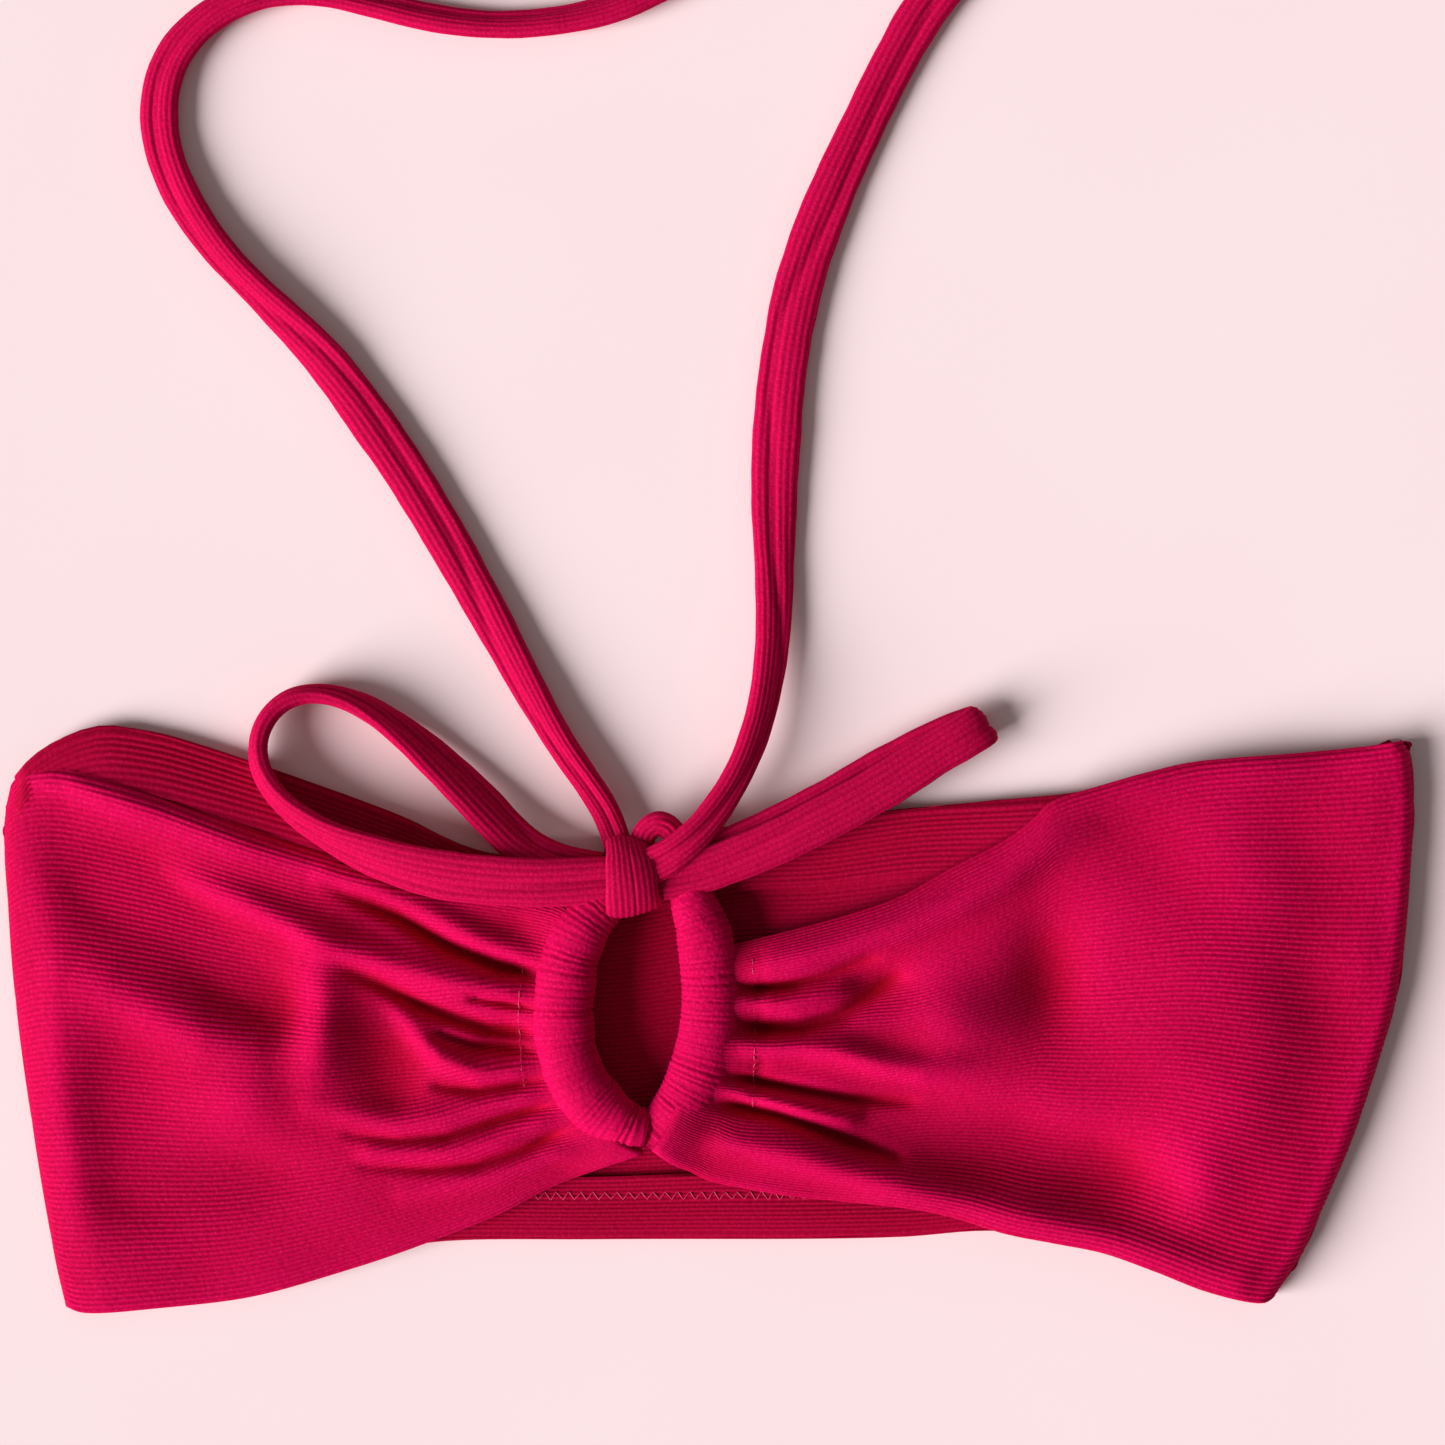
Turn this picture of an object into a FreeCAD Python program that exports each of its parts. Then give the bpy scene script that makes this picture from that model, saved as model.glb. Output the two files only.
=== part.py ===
import FreeCAD, Part

import math
import os

import Sketcher

# A gathered halter bandeau top, lying flat on its back.
# Frame: origin at the middle of the laid garment, on the surface it lies on.
# +X runs across the chest to the wearer's left, +Y up towards the neck, +Z out of the front.

Vec = FreeCAD.Vector
doc = FreeCAD.newDocument("halter_bandeau_top")
sheet = doc.addObject("Spreadsheet::Sheet", "Sizes")

SIZES = [
    ("half_width", 175.9, "half of the flat width, side fold to side fold"),
    ("half_height", 73.1, "half of the greatest flat height"),
    ("shell_thickness", 0.9, "thickness of the ribbed outer fabric"),
    ("lining_thickness", 0.6, "thickness of the inner layer of ribbed fabric"),
    ("elastic_thickness", 0.6, "thickness of the flat rubber elastic"),
    ("elastic_width", 8.0, "width of the flat rubber elastic"),
    ("hem_thickness", 1.4, "depth of a turned hem, with the channel for its elastic"),
    ("back_hem_width", 17.0, "width of the turned hem at the back"),
    ("front_hem_width", 10.5, "width of the turned hem at the front"),
    ("edge_inset", 1.2, "distance of an elastic from its edge"),
    ("crown_gap", 9.0, "height of the front lining above the surface, past its rise"),
    ("rise_start", 6.0, "distance from a side fold to where the front starts to rise"),
    ("rise_length", 24.0, "length of that rise"),
    ("left_lean", 7.3, "slant of the left side fold, degrees"),
    ("left_fold", 168.5, "distance from the origin to the line of the left side fold"),
    ("right_lean", 15.9, "slant of the right side fold, degrees"),
    ("right_fold", 154.1, "distance from the origin to the line of the right side fold"),
    ("casing_height", 10.0, "height of the middle of the keyhole casing"),
    ("left_casing_diameter", 11.5, "outer diameter of the left casing"),
    ("right_casing_diameter", 9.5, "outer diameter of the right casing"),
    ("drawcord_diameter", 6.5, "diameter of the cord inside the casings"),
    ("seam_width", 1.4, "width of a gathering seam"),
    ("seam_height", 0.5, "height of a gathering seam above the fabric"),
    ("left_seam_length", 38.0, "length of the left gathering seam"),
    ("right_seam_length", 34.0, "length of the right gathering seam"),
    ("side_seam_width", 5.0, "width of the seam allowance inside a side fold"),
    ("side_seam_inset", 9.0, "distance of that seam allowance from its fold"),
    ("side_seam_height", 0.8, "height of that seam allowance"),
    ("side_seam_length", 88.0, "length of that seam allowance, hem to hem"),
    ("zigzag_width", 2.6, "width of the zigzag row that holds the back hem"),
    ("zigzag_inset", 11.0, "distance of the zigzag row from the back's lower edge"),
    ("zigzag_height", 0.3, "height of the zigzag row"),
    ("strap_width", 11.0, "width of the flat halter strap"),
    ("strap_thickness", 3.4, "thickness of the flat halter strap"),
    ("knot_width", 14.0, "width of the bow's wrap"),
    ("knot_length", 16.5, "length of the bow's wrap"),
    ("knot_depth", 14.5, "depth of the bow's wrap, back to front"),
    ("knot_bottom", 3.2, "height of the underside of the bow's wrap"),
    ("knot_round", 3.0, "corner radius of the bow's wrap"),
    ("knob_radius", 5.2, "radius of the strap's turn behind the wrap"),
]

for row, (name, value, note) in enumerate(SIZES, start=1):
    sheet.set(f"A{row}", note)
    sheet.set(f"B{row}", str(value))
    sheet.setAlias(f"B{row}", name)
doc.recompute()

size = dict((name, value) for name, value, note in SIZES)
SUB_PARTS = []

# Levels of the flat layers, from the surface up.
LINING_LEVEL = "Sizes.shell_thickness"
INSIDE_LEVEL = "Sizes.shell_thickness + Sizes.lining_thickness"
HEM_TOP_LEVEL = INSIDE_LEVEL + " + Sizes.hem_thickness"

# Half extents turn these shares into millimetres: across from the centre line, then up.
LEFT_FOLD = [(-0.991, 0.785), (-1.0, 0.65), (-0.981, 0.07), (-0.957, -0.378), (-0.915, -0.959)]
RIGHT_FOLD = [(0.798, -0.955), (0.845, -0.79), (0.907, -0.446), (0.955, -0.104), (1.0, 0.75), (0.99, 0.963)]
BACK_TOP = [
    (0.955, 0.956), (0.699, 0.888), (0.464, 0.731), (0.287, 0.713), (0.02, 0.648), (-0.154, 0.56),
    (-0.31, 0.562), (-0.438, 0.69), (-0.58, 0.82), (-0.723, 0.938), (-0.865, 1.0), (-0.936, 0.922),
]
BACK_BOTTOM = [
    (-0.879, -1.0), (-0.652, -0.945), (-0.509, -0.85), (-0.396, -0.754), (-0.154, -0.747),
    (0.13, -0.744), (0.414, -0.72), (0.556, -0.788), (0.699, -0.915), (0.77, -0.959),
]
# The parts of the front's edges that carry a hem, from the keyhole outwards.
LEFT_HEM_TOP = [(-0.26, 0.405), (-0.37, 0.43), (-0.509, 0.477), (-0.637, 0.58), (-0.723, 0.70)]
LEFT_HEM_BOTTOM = [(-0.296, -0.651), (-0.396, -0.754), (-0.509, -0.85), (-0.652, -0.945), (-0.73, -0.967)]
RIGHT_HEM_TOP = [
    (0.04, 0.274), (0.13, 0.306), (0.272, 0.409), (0.414, 0.58), (0.486, 0.733), (0.556, 0.809),
    (0.699, 0.888), (0.79, 0.905),
]
RIGHT_HEM_BOTTOM = [(0.13, -0.60), (0.272, -0.628), (0.414, -0.72), (0.556, -0.788), (0.62, -0.845)]
# The front's inner edges follow the middle of the casings, which then trim them.
LEFT_INNER = [
    (-0.154, -0.446), (-0.155, -0.309), (-0.194, -0.198), (-0.205, -0.041), (-0.202, 0.109), (-0.195, 0.26),
]
RIGHT_INNER = [
    (-0.012, 0.255), (-0.011, 0.109), (-0.011, -0.048), (-0.024, -0.198), (-0.052, -0.309), (-0.052, -0.463),
]

# The faces of the wrap that the strap, the loops and the drawcord leave from.
KNOT_LEFT = -26.9
KNOT_RIGHT = -12.9
KNOT_TOP = 43.65
KNOT_MIDDLE = size["knot_bottom"] + size["knot_depth"] / 2
KNOB_LENGTH = 7.4
KNOB_PLACE = Vec(-14.0, KNOT_TOP, 12.4)

# Hand-chosen points of the cords' middles: across, up, and height.
DRAWCORD_ROUTE = [
    (-23.3, 27.15, 0), (-25.0, 22.0, 0), (-30.5, 16.5, 0), (-35.0, 8.0, 0), (-36.2, -3.0, 0),
    (-33.4, -14.0, 0), (-26.0, -22.8, 0), (-16.5, -26.2, 0), (-7.8, -22.6, 0), (-3.0, -13.5, 0),
    (-1.9, -3.0, 0), (-2.2, 7.6, 0), (-5.4, 16.8, 0), (-13.6, 21.2, 0), (-16.6, 27.15, 0),
]
HALTER_ROUTE = [
    (-22.4, KNOT_TOP, 5.6), (-24.4, 50.5, 4.4), (-29.6, 58.8, 2.6), (-37.0, 69.0, 1.8),
    (-44.0, 81.5, 1.8), (-51.6, 95.5, 1.8), (-59.0, 109.0, 1.8), (-67.4, 123.6, 1.8),
    (-76.0, 137.8, 1.8), (-86.4, 153.0, 1.8), (-98.0, 167.6, 1.8), (-112.0, 181.4, 1.8),
    (-124.6, 194.4, 1.8), (-133.4, 208.4, 1.8), (-137.7, 223.4, 1.8), (-135.6, 238.0, 1.8),
    (-127.2, 249.0, 1.8), (-114.2, 255.8, 1.8), (-99.4, 257.2, 1.8), (-84.0, 253.6, 1.8),
    (-68.6, 249.6, 1.8), (-52.4, 247.8, 1.8), (-36.2, 249.0, 1.8), (-21.0, 253.0, 1.8),
    (-7.0, 260.6, 1.8), (8.0, 269.4, 1.8), (21.6, 281.0, 1.8), (32.0, 295.0, 1.8),
    (38.6, 311.0, 1.8), (49.4, 325.4, 1.8), (65.4, 333.8, 1.8), (82.8, 331.4, 1.8),
    (95.6, 318.0, 1.8), (97.6, 300.4, 1.8), (88.6, 284.6, 1.8), (75.4, 272.6, 1.8),
    (62.2, 262.4, 1.8), (53.2, 251.4, 1.8), (45.6, 238.0, 1.8), (38.6, 223.6, 1.8),
    (32.0, 209.4, 1.8), (25.8, 194.8, 1.8), (21.5, 179.8, 1.8), (18.8, 164.6, 1.8),
    (17.1, 149.2, 1.8), (16.4, 133.6, 1.8), (16.3, 118.0, 1.8), (16.6, 102.6, 1.8),
    (15.4, 88.0, 1.8), (12.6, 74.2, 1.8), (7.2, 60.4, 2.6), (-1.0, 49.0, 4.4),
    (-7.6, 42.4, 5.6), (KNOT_RIGHT, 38.2, 5.6),
]
LEFT_LOOP_ROUTE = [
    (KNOT_LEFT, 35.4, 14.6), (-36.8, 34.6, 14.6), (-49.4, 34.8, 14.4), (-62.4, 36.0, 14.0),
    (-75.2, 38.8, 13.4), (-87.6, 43.0, 12.0), (-98.8, 48.8, 10.4), (-107.8, 56.2, 8.8),
    (-112.4, 65.2, 7.4), (-111.0, 74.4, 6.4), (-104.4, 80.8, 5.8), (-95.2, 81.8, 5.4),
    (-85.2, 78.6, 5.2), (-75.2, 71.6, 5.2), (-65.0, 62.4, 5.6), (-55.2, 52.6, 6.6),
    (-46.6, 43.8, 8.0), (-37.2, 38.6, 9.2), (KNOT_LEFT, 37.2, 9.6),
]
RIGHT_LOOP_ROUTE = [
    (KNOT_RIGHT, 35.6, 15.2), (-4.4, 37.2, 15.0), (8.0, 42.6, 13.8), (20.8, 48.4, 12.4),
    (33.6, 54.6, 11.0), (46.0, 61.8, 9.6), (56.4, 67.8, 8.6), (63.4, 71.4, 8.2), (67.4, 73.4, 6.6),
    (67.2, 73.3, 3.6), (62.6, 71.0, 2.3), (55.2, 67.2, 3.2), (44.8, 61.2, 4.2), (32.6, 54.2, 5.8),
    (20.2, 48.0, 7.6), (8.0, 42.4, 9.6), (-3.6, 37.4, 11.0), (KNOT_RIGHT, 35.6, 11.4),
]


def plane_of(body, role):
    """One of a body's own origin planes, by its role."""
    return next(feature for feature in body.Origin.OriginFeatures if feature.Role == role)


def add_sketch(body, name, role, offset="0", turn="0"):
    """A sketch on an origin plane, lifted off it and turned about its own vertical axis."""
    sketch = body.newObject("Sketcher::SketchObject", name)
    sketch.AttachmentSupport = [(plane_of(body, role), "")]
    sketch.MapMode = "FlatFace"
    sketch.setExpression("AttachmentOffset.Base.z", offset)
    if turn != "0":
        sketch.AttachmentOffset = FreeCAD.Placement(Vec(), FreeCAD.Rotation(Vec(0, 1, 0), 1))
        sketch.setExpression("AttachmentOffset.Rotation.Angle", turn)
    return sketch


def draw_loop(sketch, corners):
    """A closed loop of straight edges whose corners are pairs of expressions in the sheet's sizes."""
    places = [Vec(value_of(across), value_of(along), 0) for across, along in corners]
    edges = []
    for here, there in zip(places, places[1:] + places[:1]):
        edges.append(sketch.addGeometry(Part.LineSegment(here, there), False))
    for index, edge in enumerate(edges):
        sketch.addConstraint(Sketcher.Constraint("Coincident", edges[index - 1], 2, edge, 1))
        for kind, text, place in (
            ("DistanceX", corners[index][0], places[index].x),
            ("DistanceY", corners[index][1], places[index].y),
        ):
            number = sketch.addConstraint(Sketcher.Constraint(kind, -1, 1, edge, 1, place))
            sketch.setExpression(f"Constraints[{number}]", text)


def value_of(text):
    """The number that an expression in the sheet's sizes gives."""
    return float(sheet.evalExpression(text))


def share(across, along):
    """Shares of the half extents as a pair of expressions."""
    return f"Sizes.half_width * {across}", f"Sizes.half_height * {along}"


def pad_up(body, sketch, length):
    """A pad of a flat sketch towards +Z."""
    pad = body.newObject("PartDesign::Pad", sketch.Name + "_pad")
    pad.Profile = sketch
    pad.setExpression("Length", length)
    doc.recompute()
    return pad


def new_body(label):
    """An empty body with its label."""
    body = doc.addObject("PartDesign::Body", label)
    body.Label = label
    return body


def keep(feature, label):
    """Files a finished object as the sub-part of that name."""
    feature.Label = label
    SUB_PARTS.append(feature)
    return feature


def flat_plate(label, corners, level, thickness):
    """A flat layer of fabric: its outline padded up from a level."""
    body = new_body(label)
    sketch = add_sketch(body, label + "_outline", "XY_Plane", level)
    draw_loop(sketch, corners)
    pad_up(body, sketch, thickness)
    return body


def strip_corners(edge, inset, width):
    """A strip along an edge, set in by an expression and as wide as another; minus is down."""
    outer = [(f"Sizes.half_width * {u}", f"Sizes.half_height * {v} {inset}") for u, v in edge]
    inner = [(f"Sizes.half_width * {u}", f"Sizes.half_height * {v} {inset} {width}") for u, v in edge]
    return outer + inner[::-1]


def arch_profile(side, base, thickness):
    """Cross-section of an arched front layer: flat at the side fold, a rise, then flat to the centre."""
    sign = "" if side == "right" else "-1 * "
    fold = "(Sizes.half_width + 6)"
    rise = "(Sizes.half_width - Sizes.rise_start)"
    crown = "(Sizes.half_width - Sizes.rise_start - Sizes.rise_length)"
    lift = "(Sizes.crown_gap - Sizes.shell_thickness - Sizes.lining_thickness)"
    under = [(fold, base), (rise, base), (crown, f"{base} + {lift}"), ("-30", f"{base} + {lift}")]
    over = [(across, f"{height} + {thickness}") for across, height in under[::-1]]
    return [(sign + across, height) for across, height in under + over]


def arched_layer(label, side, base, thickness, corners):
    """An arched layer: the cross-section padded along the garment, then trimmed to its outline."""
    body = new_body(label)
    lean = "Sizes.left_lean" if side == "left" else "-1 * Sizes.right_lean"
    profile = add_sketch(body, label + "_profile", "XZ_Plane", turn=lean)
    draw_loop(profile, arch_profile(side, base, thickness))
    pad = body.newObject("PartDesign::Pad", label + "_pad")
    pad.Profile = profile
    pad.Midplane = True
    pad.setExpression("Length", "Sizes.half_height * 3")
    trim = add_sketch(body, label + "_trim", "XY_Plane")
    frame = [("-1.5", "-3"), ("1.5", "-3"), ("1.5", "3"), ("-1.5", "3")]
    draw_loop(trim, [share(across, along) for across, along in frame])
    draw_loop(trim, corners)
    pocket = body.newObject("PartDesign::Pocket", label + "_pocket")
    pocket.Profile = trim
    pocket.Type = "ThroughAll"
    pocket.Midplane = True
    doc.recompute()
    return body


def route_wire(places, radii=None):
    """Straight runs joined by tangent arcs, each as large as its two runs allow."""
    edges = []
    start = places[0]
    found = []
    for index in range(1, len(places) - 1):
        before, here, after = places[index - 1], places[index], places[index + 1]
        inward = (before - here).normalize()
        outward = (after - here).normalize()
        half_turn = (math.pi - inward.getAngle(outward)) / 2
        reach = 0.45 * min((before - here).Length, (after - here).Length)
        radius = reach / math.tan(half_turn)
        found.append(radius)
        first = here + inward * reach
        last = here + outward * reach
        bisector = (inward + outward).normalize()
        middle = here + bisector * (radius / math.cos(half_turn) - radius)
        edges.append(Part.LineSegment(start, first).toShape())
        edges.append(Part.Arc(first, middle, last).toShape())
        start = last
    edges.append(Part.LineSegment(start, places[-1]).toShape())
    return Part.Wire(edges), found


def cord_spine(label, route, level=0.0):
    """The path of a cord, as an object of the document."""
    wire, radii = route_wire([Vec(across, up, height + level) for across, up, height in route])
    spine = doc.addObject("Part::Feature", label + "_route")
    spine.Shape = wire
    print(f"{label}: length {wire.Length:.0f} mm, least radius {min(radii):.1f} mm")
    return spine


def swept(label, spine, width, thickness, first=1, last=None):
    """An elliptical section, bound to the sheet, swept along some edges of a spine."""
    edges = spine.Shape.Edges[first - 1:last]
    section = doc.addObject("Part::Ellipse", label + "_section")
    section.setExpression("MajorRadius", f"{width} / 2")
    section.setExpression("MinorRadius", f"{thickness} / 2")
    ahead = edges[0].tangentAt(edges[0].FirstParameter)
    across = ahead.cross(Vec(0, 0, 1)).normalize()
    section.Placement = FreeCAD.Placement(
        edges[0].valueAt(edges[0].FirstParameter),
        FreeCAD.Rotation(across, across.cross(ahead).negative(), ahead, "ZXY"),
    )
    tube = doc.addObject("Part::Sweep", label)
    tube.Sections = [section]
    tube.Spine = (spine, [f"Edge{first + number}" for number in range(len(edges))])
    tube.Solid = True
    tube.Frenet = False
    doc.recompute()
    length = sum(edge.Length for edge in edges)
    area = math.pi * section.MajorRadius.Value * section.MinorRadius.Value
    print(f"{label}: volume / (section x length) {tube.Shape.Volume / (area * length):.3f}")
    return tube


def subtract(label, base, tool):
    """One object less another, as a boolean of the document."""
    cut = doc.addObject("Part::Cut", label)
    cut.Base = base
    cut.Tool = tool
    doc.recompute()
    return cut


def build_back():
    """The back panel, its lining, and its two hems with the elastic inside them."""
    outline = [share(u, v) for u, v in LEFT_FOLD + BACK_BOTTOM + RIGHT_FOLD + BACK_TOP]
    keep(flat_plate("back_panel", outline, "0", "Sizes.shell_thickness"), "back_panel")
    keep(flat_plate("back_lining", outline, LINING_LEVEL, "Sizes.lining_thickness"), "back_lining")
    hems = [
        ("back_hem_bottom", "back_elastic_bottom", BACK_BOTTOM, "+", "Sizes.back_hem_width"),
        ("back_hem_top", "back_elastic_top", BACK_TOP[:-1], "-", "Sizes.front_hem_width"),
    ]
    for hem, elastic, edge, way, width in hems:
        band = strip_corners(edge, "", f"{way} {width}")
        blank = flat_plate(hem + "_blank", band, INSIDE_LEVEL, "Sizes.hem_thickness")
        tape = strip_corners(edge, f"{way} Sizes.edge_inset", f"{way} Sizes.elastic_width")
        core = flat_plate(elastic, tape, INSIDE_LEVEL, "Sizes.elastic_thickness")
        keep(core, elastic)
        keep(subtract(hem, blank, core), hem)
    row = strip_corners(BACK_BOTTOM, "+ Sizes.zigzag_inset", "+ Sizes.zigzag_width")
    stitches = flat_plate("back_hem_stitches", row, HEM_TOP_LEVEL, "Sizes.zigzag_height")
    keep(stitches, "back_hem_stitches")


def build_front(side, outline, casing, hem_edges):
    """One half of the front: outer panel and lining trimmed by the casing, and its hems."""
    layers = [
        ("front_lining_", INSIDE_LEVEL, "Sizes.lining_thickness"),
        ("front_panel_", INSIDE_LEVEL + " + Sizes.lining_thickness", "Sizes.shell_thickness"),
    ]
    for name, base, thickness in layers:
        blank = arched_layer(name + side + "_blank", side, base, thickness, outline)
        keep(subtract(name + side, blank, casing), name + side)
    for end, edge, way in (("top", hem_edges[0], "-"), ("bottom", hem_edges[1], "+")):
        hem = f"front_hem_{end}_{side}"
        elastic = f"front_elastic_{end}_{side}"
        band = strip_corners(edge, "", f"{way} Sizes.front_hem_width")
        tape = strip_corners(edge, f"{way} Sizes.edge_inset", f"{way} Sizes.elastic_width")
        under_lining = INSIDE_LEVEL + " - Sizes.{}"
        blank = arched_layer(
            hem + "_blank", side, under_lining.format("hem_thickness"), "Sizes.hem_thickness", band
        )
        core = arched_layer(
            elastic, side, under_lining.format("elastic_thickness"), "Sizes.elastic_thickness", tape
        )
        keep(core, elastic)
        keep(subtract(hem, blank, core), hem)


def build_side_seam(side, turn, across, start):
    """The seam allowance inside a side fold, in line with the fold."""
    seam = doc.addObject("Part::Box", "side_seam_" + side)
    seam.setExpression("Length", "Sizes.side_seam_width")
    seam.setExpression("Width", "Sizes.side_seam_length")
    seam.setExpression("Height", "Sizes.side_seam_height")
    spin = FreeCAD.Rotation(Vec(0, 0, 1), turn)
    level = size["shell_thickness"] + size["lining_thickness"]
    seam.Placement = FreeCAD.Placement(spin.multVec(Vec(across, start, level)), spin)
    keep(seam, "side_seam_" + side)


def build_gather_seam(side, across, start):
    """The row of stitching that holds the gathers beside a casing."""
    seam = doc.addObject("Part::Box", "gather_seam_" + side)
    seam.setExpression("Length", "Sizes.seam_width")
    seam.setExpression("Width", f"Sizes.{side}_seam_length")
    seam.setExpression("Height", "Sizes.seam_height")
    level = size["crown_gap"] + size["lining_thickness"] + size["shell_thickness"]
    seam.Placement = FreeCAD.Placement(Vec(across, start, level), FreeCAD.Rotation())
    keep(seam, "gather_seam_" + side)


def build_knot(cords):
    """The bow's wrap, a rounded block seated round its cords, and the strap's turn behind it."""
    wrap = doc.addObject("Part::Box", "bow_wrap_block")
    wrap.setExpression("Length", "Sizes.knot_width")
    wrap.setExpression("Width", "Sizes.knot_length")
    wrap.setExpression("Height", "Sizes.knot_depth")
    corner = Vec(KNOT_RIGHT - size["knot_width"], KNOT_TOP - size["knot_length"], size["knot_bottom"])
    wrap.Placement = FreeCAD.Placement(corner, FreeCAD.Rotation())
    doc.recompute()
    rounded = doc.addObject("Part::Fillet", "bow_wrap")
    rounded.Base = wrap
    upright = [
        number for number, edge in enumerate(wrap.Shape.Edges, start=1)
        if abs(edge.tangentAt(edge.FirstParameter).y) > 0.99 and edge.CenterOfMass.z > KNOT_MIDDLE
    ]
    rounded.Edges = [(number, size["knot_round"], size["knot_round"]) for number in upright]
    knot = rounded
    for cord in cords:
        knot = subtract(f"{rounded.Name}_round_{cord.Name}", knot, cord)
    keep(knot, "bow_knot")
    turn = doc.addObject("Part::Cylinder", "knot_back_turn")
    turn.setExpression("Radius", "Sizes.knob_radius")
    turn.Height = KNOB_LENGTH
    turn.Placement = FreeCAD.Placement(KNOB_PLACE, FreeCAD.Rotation(Vec(0, 0, 1), Vec(0, 1, 0)))
    keep(turn, "knot_back_turn")


def check_and_write():
    """Refuses a document with a failed object, then writes each sub-part to its own file."""
    doc.recompute()
    for feature in doc.Objects:
        if "Invalid" in feature.State or "Error" in feature.State:
            raise RuntimeError(f"{feature.Name} failed: {feature.State}")
    os.makedirs("parts", exist_ok=True)
    for part in SUB_PARTS:
        if part.Shape.isNull() or not part.Shape.isValid() or not part.Shape.Solids:
            raise RuntimeError(f"{part.Label} has no valid solid")
        part.Shape.exportStep(os.path.join("parts", part.Label + ".step"))
    print(len(SUB_PARTS), "sub-parts written")


build_back()

drawcord_spine = cord_spine("drawcord", DRAWCORD_ROUTE, size["casing_height"])
cord_size = "Sizes.drawcord_diameter"
drawcord = keep(swept("drawcord", drawcord_spine, cord_size, cord_size), "drawcord")
CASING_EDGES = {"left": (3, 14), "right": (15, 25)}
fronts = {
    "left": (LEFT_FOLD + LEFT_HEM_BOTTOM[::-1] + LEFT_INNER + LEFT_HEM_TOP + [(-0.90, 0.853)],
             (LEFT_HEM_TOP, LEFT_HEM_BOTTOM)),
    "right": (RIGHT_FOLD + RIGHT_HEM_TOP[::-1] + RIGHT_INNER + RIGHT_HEM_BOTTOM
              + [(0.699, -0.915), (0.77, -0.959)],
              (RIGHT_HEM_TOP, RIGHT_HEM_BOTTOM)),
}
for side, (shares, hem_edges) in fronts.items():
    diameter = f"Sizes.{side}_casing_diameter"
    outer = swept(f"casing_{side}_outer", drawcord_spine, diameter, diameter, *CASING_EDGES[side])
    keep(subtract("casing_" + side, outer, drawcord), "casing_" + side)
    build_front(side, [share(u, v) for u, v in shares], outer, hem_edges)

build_side_seam("left", size["left_lean"], size["side_seam_inset"] - size["left_fold"], -32)
build_side_seam(
    "right", -size["right_lean"], size["right_fold"] - size["side_seam_inset"] - size["side_seam_width"], -9
)
build_gather_seam("left", -45.4, -22)
build_gather_seam("right", 10.2, -20)
cords = [drawcord]
for label, route in (
    ("halter_strap", HALTER_ROUTE), ("bow_loop_left", LEFT_LOOP_ROUTE), ("bow_loop_right", RIGHT_LOOP_ROUTE)
):
    cord = swept(label, cord_spine(label, route), "Sizes.strap_width", "Sizes.strap_thickness")
    cords.append(keep(cord, label))
build_knot(cords)

check_and_write()
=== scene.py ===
import math
import bmesh
import bpy
import numpy as np
from bpy.props import FloatProperty, FloatVectorProperty, IntProperty, PointerProperty
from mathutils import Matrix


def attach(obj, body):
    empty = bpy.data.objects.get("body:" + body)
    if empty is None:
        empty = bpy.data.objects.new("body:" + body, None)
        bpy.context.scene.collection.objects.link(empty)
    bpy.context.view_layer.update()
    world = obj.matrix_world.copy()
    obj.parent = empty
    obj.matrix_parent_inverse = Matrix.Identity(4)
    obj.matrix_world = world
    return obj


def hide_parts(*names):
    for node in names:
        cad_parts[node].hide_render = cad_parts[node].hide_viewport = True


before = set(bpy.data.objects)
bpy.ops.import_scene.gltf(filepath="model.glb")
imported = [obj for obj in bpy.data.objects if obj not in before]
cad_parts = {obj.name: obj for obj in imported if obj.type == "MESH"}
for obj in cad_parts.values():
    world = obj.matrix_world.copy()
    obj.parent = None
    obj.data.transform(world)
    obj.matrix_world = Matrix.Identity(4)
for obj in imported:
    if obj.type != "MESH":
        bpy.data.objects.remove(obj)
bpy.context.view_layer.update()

bl_info = {
    "name": "Gathered Halter Top",
    "version": (1, 0, 0),
    "blender": (4, 5, 0),
    "location": "3D View > Sidebar > Halter Top",
    "description": "Builds a ribbed halter bandeau top with a keyhole, a bow and a neck strap, laid flat",
    "category": "Object",
}

MM = 0.001

# Ribs up one layer and their course, in millimetres, and the grid rows to each rib.
BACK_RIBS, BACK_COURSE = 88, 1.43
FRONT_RIBS, FRONT_COURSE = 101, 1.3
FINE_ROWS, COARSE_ROWS = 4, 2
CASING_RIB = 1.42  # from one rib across a casing to the next, in millimetres


# ---------------------------------------------------------------- colours and numbers


def srgb(code):
    """A hex colour as three channels, unchanged."""
    return tuple(int(code[at:at + 2], 16) / 255 for at in (1, 3, 5))


def linear(code):
    """An sRGB hex colour as linear red, green and blue."""
    return tuple(c / 12.92 if c <= 0.04045 else ((c + 0.055) / 1.055) ** 2.4 for c in srgb(code))


def smooth(t):
    """An even ramp from 0 to 1 that starts and ends level."""
    t = np.clip(t, 0, 1)
    return t * t * (3 - 2 * t)


def wobble(x, y, seed):
    """Smooth unevenness between -1 and 1, from a few crossed waves."""
    rng = np.random.default_rng(seed)
    total = np.zeros(np.broadcast(x, y).shape)
    for _ in range(7):
        angle, phase, rate = rng.uniform(0, 2 * math.pi, 2).tolist() + [rng.uniform(0.6, 1.7)]
        total += np.sin(rate * (x * math.cos(angle) + y * math.sin(angle)) + phase)
    return total / 4


# ---------------------------------------------------------------- lines and patches


def distances(places):
    """How far along a line each of its places lies."""
    return np.r_[0, np.cumsum(np.linalg.norm(np.diff(places, axis=0), axis=1))]


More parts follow.
